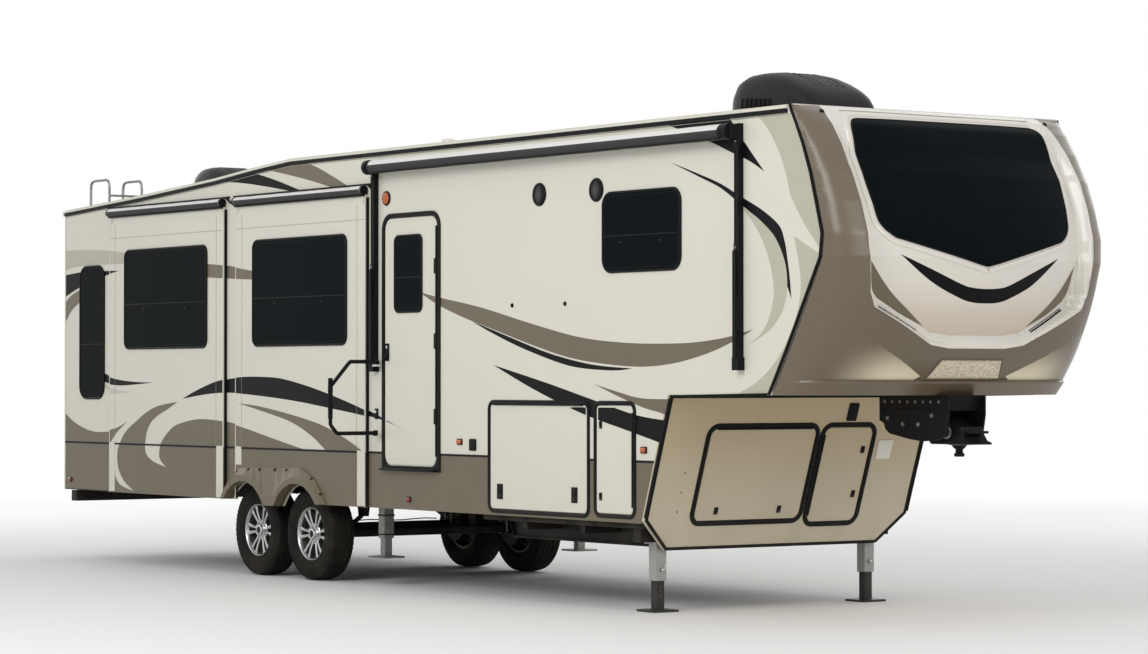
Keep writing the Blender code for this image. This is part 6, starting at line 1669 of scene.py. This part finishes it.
def dress_roof():
    shroud("rear_shroud", "air_conditioner_rear", 0.72, 1.46, 0.31, 0.36)
    shroud("front_shroud", "air_conditioner_front", 9.02, 9.96, 0.36, 0.40)
    form = Form("roof_details")
    for side in (-1, 1):
        path = [(x, side * SEALANT_Y, roof_at(x) + 0.001) for x in (*ROOF_STOPS, 10.80)]
        form.sweep(path, mm("-30 -3, 30 -3, 18 5, 0 7, -18 5"), UP, "sealant")
        form.sweep([(x, side * 1.205, z + 0.004) for x, _, z in path], bar(0.012, 0.008, 0.012, 0.004),
                   UP, "cream")
        for k in range(36):
            x = 0.15 + 0.30 * k
            form.lathe((x, side * SEALANT_Y, roof_at(x) + 0.006), UP, SCREW_DOME, "zinc", 8)
    for x in (2.55, 5.30, 7.60):
        form.sweep([(x, y, roof_at(x) + 0.001) for y in spread(-1.14, 1.14, 16)],
                   bar(0.045, 0.003, 0.03, 0.004), UP, "sealant")
    for x0, x1 in ((6.42, 6.80), (8.02, 8.40)):
        z = roof_at((x0 + x1) / 2)
        form.block((x0 - 0.035, -0.225, z - 0.002), (x1 + 0.035, 0.225, z + 0.010), "plastic", 0.004)
        for y in spread(-0.13, 0.13, 4):
            form.sweep([(x0 + 0.03, y, z + 0.1195), (x1 - 0.03, y, z + 0.1195)],
                       bar(0.008, 0.002, 0.005, 0.004), UP, "plastic")
        for x in (x0 - 0.022, x1 + 0.022):
            for y in spread(-0.19, 0.19, 4):
                form.lathe((x, y, z + 0.009), UP, SCREW_DOME, "zinc", 8)
    for x, y in mm("3050 620, 5850 -720, 9350 860, 7250 700"):
        z = roof_at(x)
        form.lathe((x, y, z - 0.002), UP, mm("0 85, 8 82, 12 45, 60 42, 62 62, 85 58, 96 35, 98 0"),
                   "plastic", 28)
        form.lathe((x, y, z - 0.001), UP, mm("0 110, 6 100, 9 85"), "sealant", 28)
    z = roof_at(4.9)
    form.block((4.78, 0.22, z - 0.002), (5.02, 0.50, z + 0.022), "plastic", 0.008)
    form.lathe((4.9, 0.36, z + 0.02), UP, mm("0 90, 20 88, 45 70, 58 40, 62 0"), "plastic", 32)
    form.make("trailer", slot="roof_membrane")


# Awning and handle

def dress_awning():
    form = Form("awning_roll")
    x0, x1 = 5.665, 10.225
    y, z = AWNING_Y, AWNING_Z
    rolled_cloth(form, x0, x1, y, z, AWNING_RADIUS)
    form.sweep([(x0, y - 0.030, z - 0.048), (x1, y - 0.030, z - 0.048)], bar(0.008, 0.004, 0.006, 0.005),
               (0, -0.5, -0.86), "trim")
    form.make("trailer", slot="awning_white", replaces=("awning_roller",), angle=60.0)

    caps = Form("awning_hardware")
    for x, sign in ((5.645, 1), (10.245, -1)):
        caps.lathe((x, AWNING_Y, AWNING_Z), (sign, 0, 0), mm("-20 0, -20 46, -14 53, 20 53.5, 26 49, 26 0"),
                   "trim", 32)
    for x in (5.575, 10.315):
        for edge in (x - 0.0195, x + 0.0195):
            caps.sweep([(edge, -1.2645, 1.80), (edge, -1.2645, 3.36)],
                       bar(0.003, 0.003, 0.003, 0.0035), (0, -1, 0), "trim")
        for low, high, out in mm("1752 1860 10, 2160 2220 6, 2500 2600 8, 3260 3340 6"):
            caps.block((x - 0.024, -1.266 - out, low), (x + 0.024, -1.222, high), "trim", 0.005)
        for z in (1.79, 1.83, 2.19, 2.53, 2.57, 3.30):
            caps.lathe((x, -1.270, z), (0, -1, 0), mm("0 9, 6 8.5, 8 5, 8 0"), "zinc", 12)
        caps.tube([(x + 0.006, -1.272, z) for z in spread(1.88, 2.50, 10)], 0.0085, "chrome", 12)
        caps.tube([(x + 0.006, -1.272, z) for z in spread(1.86, 2.22, 6)], 0.0125, "trim", 14)
    caps.make("trailer", slot="black_trim")

    rail = Form("awning_rail")
    rail.sweep([(5.56, -1.224, 3.415), (10.33, -1.224, 3.415)], bar(0.012, 0.004, 0.010, 0.010),
               (0, -1, 0), "cream")
    rail.make("trailer", slot="wall_cream")

    grip = Form("handle_grip")
    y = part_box("assist_handle")[0].y - TRAILER.y + 0.016
    grip.tube([(5.635, y, z) for z in spread(1.36, 1.68, 12)], lambda s: 0.0195 + 0.0008 * sin(s * 60),
              "rubber", 16)
    grip.make("assist_handle", slot="black_trim")


# Hitch, legs and underside

LEG_X, JACK_X, SPRING_Y = 9.02, 5.30, 0.83


def dress_hitch():
    form = Form("hitch_details")
    for side in (-1, 1):
        for k in range(8):
            form.lathe((10.59 + 0.08 * k, side * 0.170, 1.515), (0, side, 0),
                       mm("0 13, 2 13, 2 9, 9 8.5, 10 0"), "zinc", 6)
        for x, z in mm("10620 1400, 10780 1360, 10940 1360, 11080 1420"):
            form.lathe((x, side * 0.170, z), (0, side, 0), mm("0 17, 3 17, 3 12, 12 11, 13 0"), "zinc", 6)
        form.lathe((11.16, side * 0.105, 1.305), (0, side, 0), mm("0 45, 10 44, 14 36, 14 20, 22 18, 23 0"),
                   "zinc", 28)
        form.block((10.70, side * 0.172 - 0.004, 1.44), (11.05, side * 0.172 + 0.004, 1.465), "steel",
                   0.003)
    form.lathe((11.167, 0.0, 1.225), (0, 0, -1), mm("-4 75, 4 73, 6 60, 7 37"), "zinc", 32)
    form.block((11.29, -0.075, 1.30), (11.384, 0.075, 1.318), "steel", 0.004)
    form.make("trailer", slot="chassis_black")

    legs = Form("leg_details")
    for side in (-1, 1):
        y = side * 0.975
        for z in (0.50, 0.62):
            legs.block((LEG_X - 0.048, y - 0.048, z), (LEG_X + 0.048, y + 0.048, z + 0.012), "steel", 0.003)
        # Dark discs on each leg: painted shade in its holes.
        for k in range(7):
            legs.lathe((LEG_X + 0.0345, y, 0.11 + 0.035 * k), ALONG, mm("0 8, 1.5 7.8, 1.5 0"), "pocket",
                       12)
        legs.lathe((LEG_X, y, 0.236), UP, mm("0 47, 12 47, 12 40"), "zinc", 4, pi / 4)
        legs.lathe((LEG_X + 0.05, y, 0.30), ALONG, mm("0 14, 20 12, 24 0"), "chrome", 16)
        crank = mm("50 300, 85 300, 95 315, 95 345")
        legs.tube([(LEG_X + out, y, z) for out, z in crank], 0.004, "chrome", 8)
        y = side * 0.96
        for z in (0.405, 0.56):
            legs.block((JACK_X - 0.052, y - 0.052, z), (JACK_X + 0.052, y + 0.052, z + 0.012), "steel",
                       0.003)
    legs.make("trailer", slot="leg_steel")


def dress_underside():
    """Cross members, underbelly sheet, hangers and brackets under the floor."""
    form = Form("underbelly")
    for x in (0.45 + 0.82 * k for k in range(11)):
        if all(abs(x - wheel) >= 0.32 for wheel in WHEEL_X):
            form.block((x - 0.02, -0.86, 0.735), (x + 0.02, 0.86, 0.80), "steel", 0.003)
    for x0, x1 in ((0.14, 3.05), (4.95, 9.0)):
        form.block((x0, -0.795, 0.805), (x1, 0.795, 0.812), "steel", 0.003)
        for x in (x0 + 0.08 + 0.16 * k for k in range(int((x1 - x0) / 0.16))):
            form.sweep([(x, -0.78, 0.806), (x, 0.78, 0.806)],
                       bar(0.012, 0.005, 0.02, 0.002), UP, "steel")
    for side in (-1, 1):
        y = side * SPRING_Y
        for x in (0.6, 1.4, 2.2, 2.9, 5.1, 6.0, 6.9, 7.8):
            form.block((x - 0.006, y - 0.028, 0.715), (x + 0.006, y + 0.028, 0.885), "steel", 0.002)
        form.tube([(0.3, side * 0.72, 0.735), (1.6, side * 0.72, 0.73), (2.9, side * 0.72, 0.735)], 0.012,
                  "trim", 10)
    form.tube(mm("500 -450 740, 2200 -450 720, 3000 -450 700"), 0.038, "pocket", 18)
    form.make("trailer", slot="chassis_black")

    bolts = Form("suspension_details")
    for side in (-1, 1):
        for x in WHEEL_X:
            y = side * SPRING_Y
            for u in (x - 0.045, x + 0.045):
                for v in (y - 0.036, y + 0.036):
                    bolts.tube([(u, v, AXLE_Z - 0.045), (u, v, AXLE_Z + 0.10)], 0.007, "zinc", 10)
                    bolts.lathe((u, v, AXLE_Z - 0.050), UP, mm("0 0, 0 12, 10 12, 10 0"), "zinc", 6)
            bolts.block((x - 0.065, y - 0.05, AXLE_Z - 0.045), (x + 0.065, y + 0.05, AXLE_Z - 0.037),
                        "steel", 0.003)
        for x in (3.07, 3.96, 4.85):
            bolts.lathe((x, side * 0.87, 0.62), (0, side, 0), mm("0 20, 4 20, 4 14, 14 13, 15 0"), "zinc",
                        6)
    for x in WHEEL_X:
        wavy = [(x - 0.045, y, AXLE_Z + 0.052 + 0.006 * sin(k * 1.3))
                for k, y in enumerate(spread(-0.7, 0.7, 12))]
        bolts.tube(wavy, 0.005, "rubber", 8)
    bolts.make("trailer", slot="chassis_black")


make_camera()
make_lights()
make_floor()
dress_nodes()
make_graphics()
make_cap()
dress_doors()
dress_windows()
dress_rooms()
dress_walls()
dress_rear()
dress_nose()
dress_flares()
make_wheels()
dress_roof()
dress_awning()
dress_hitch()
dress_underside()
bpy.context.scene.view_settings.view_transform = "Standard"
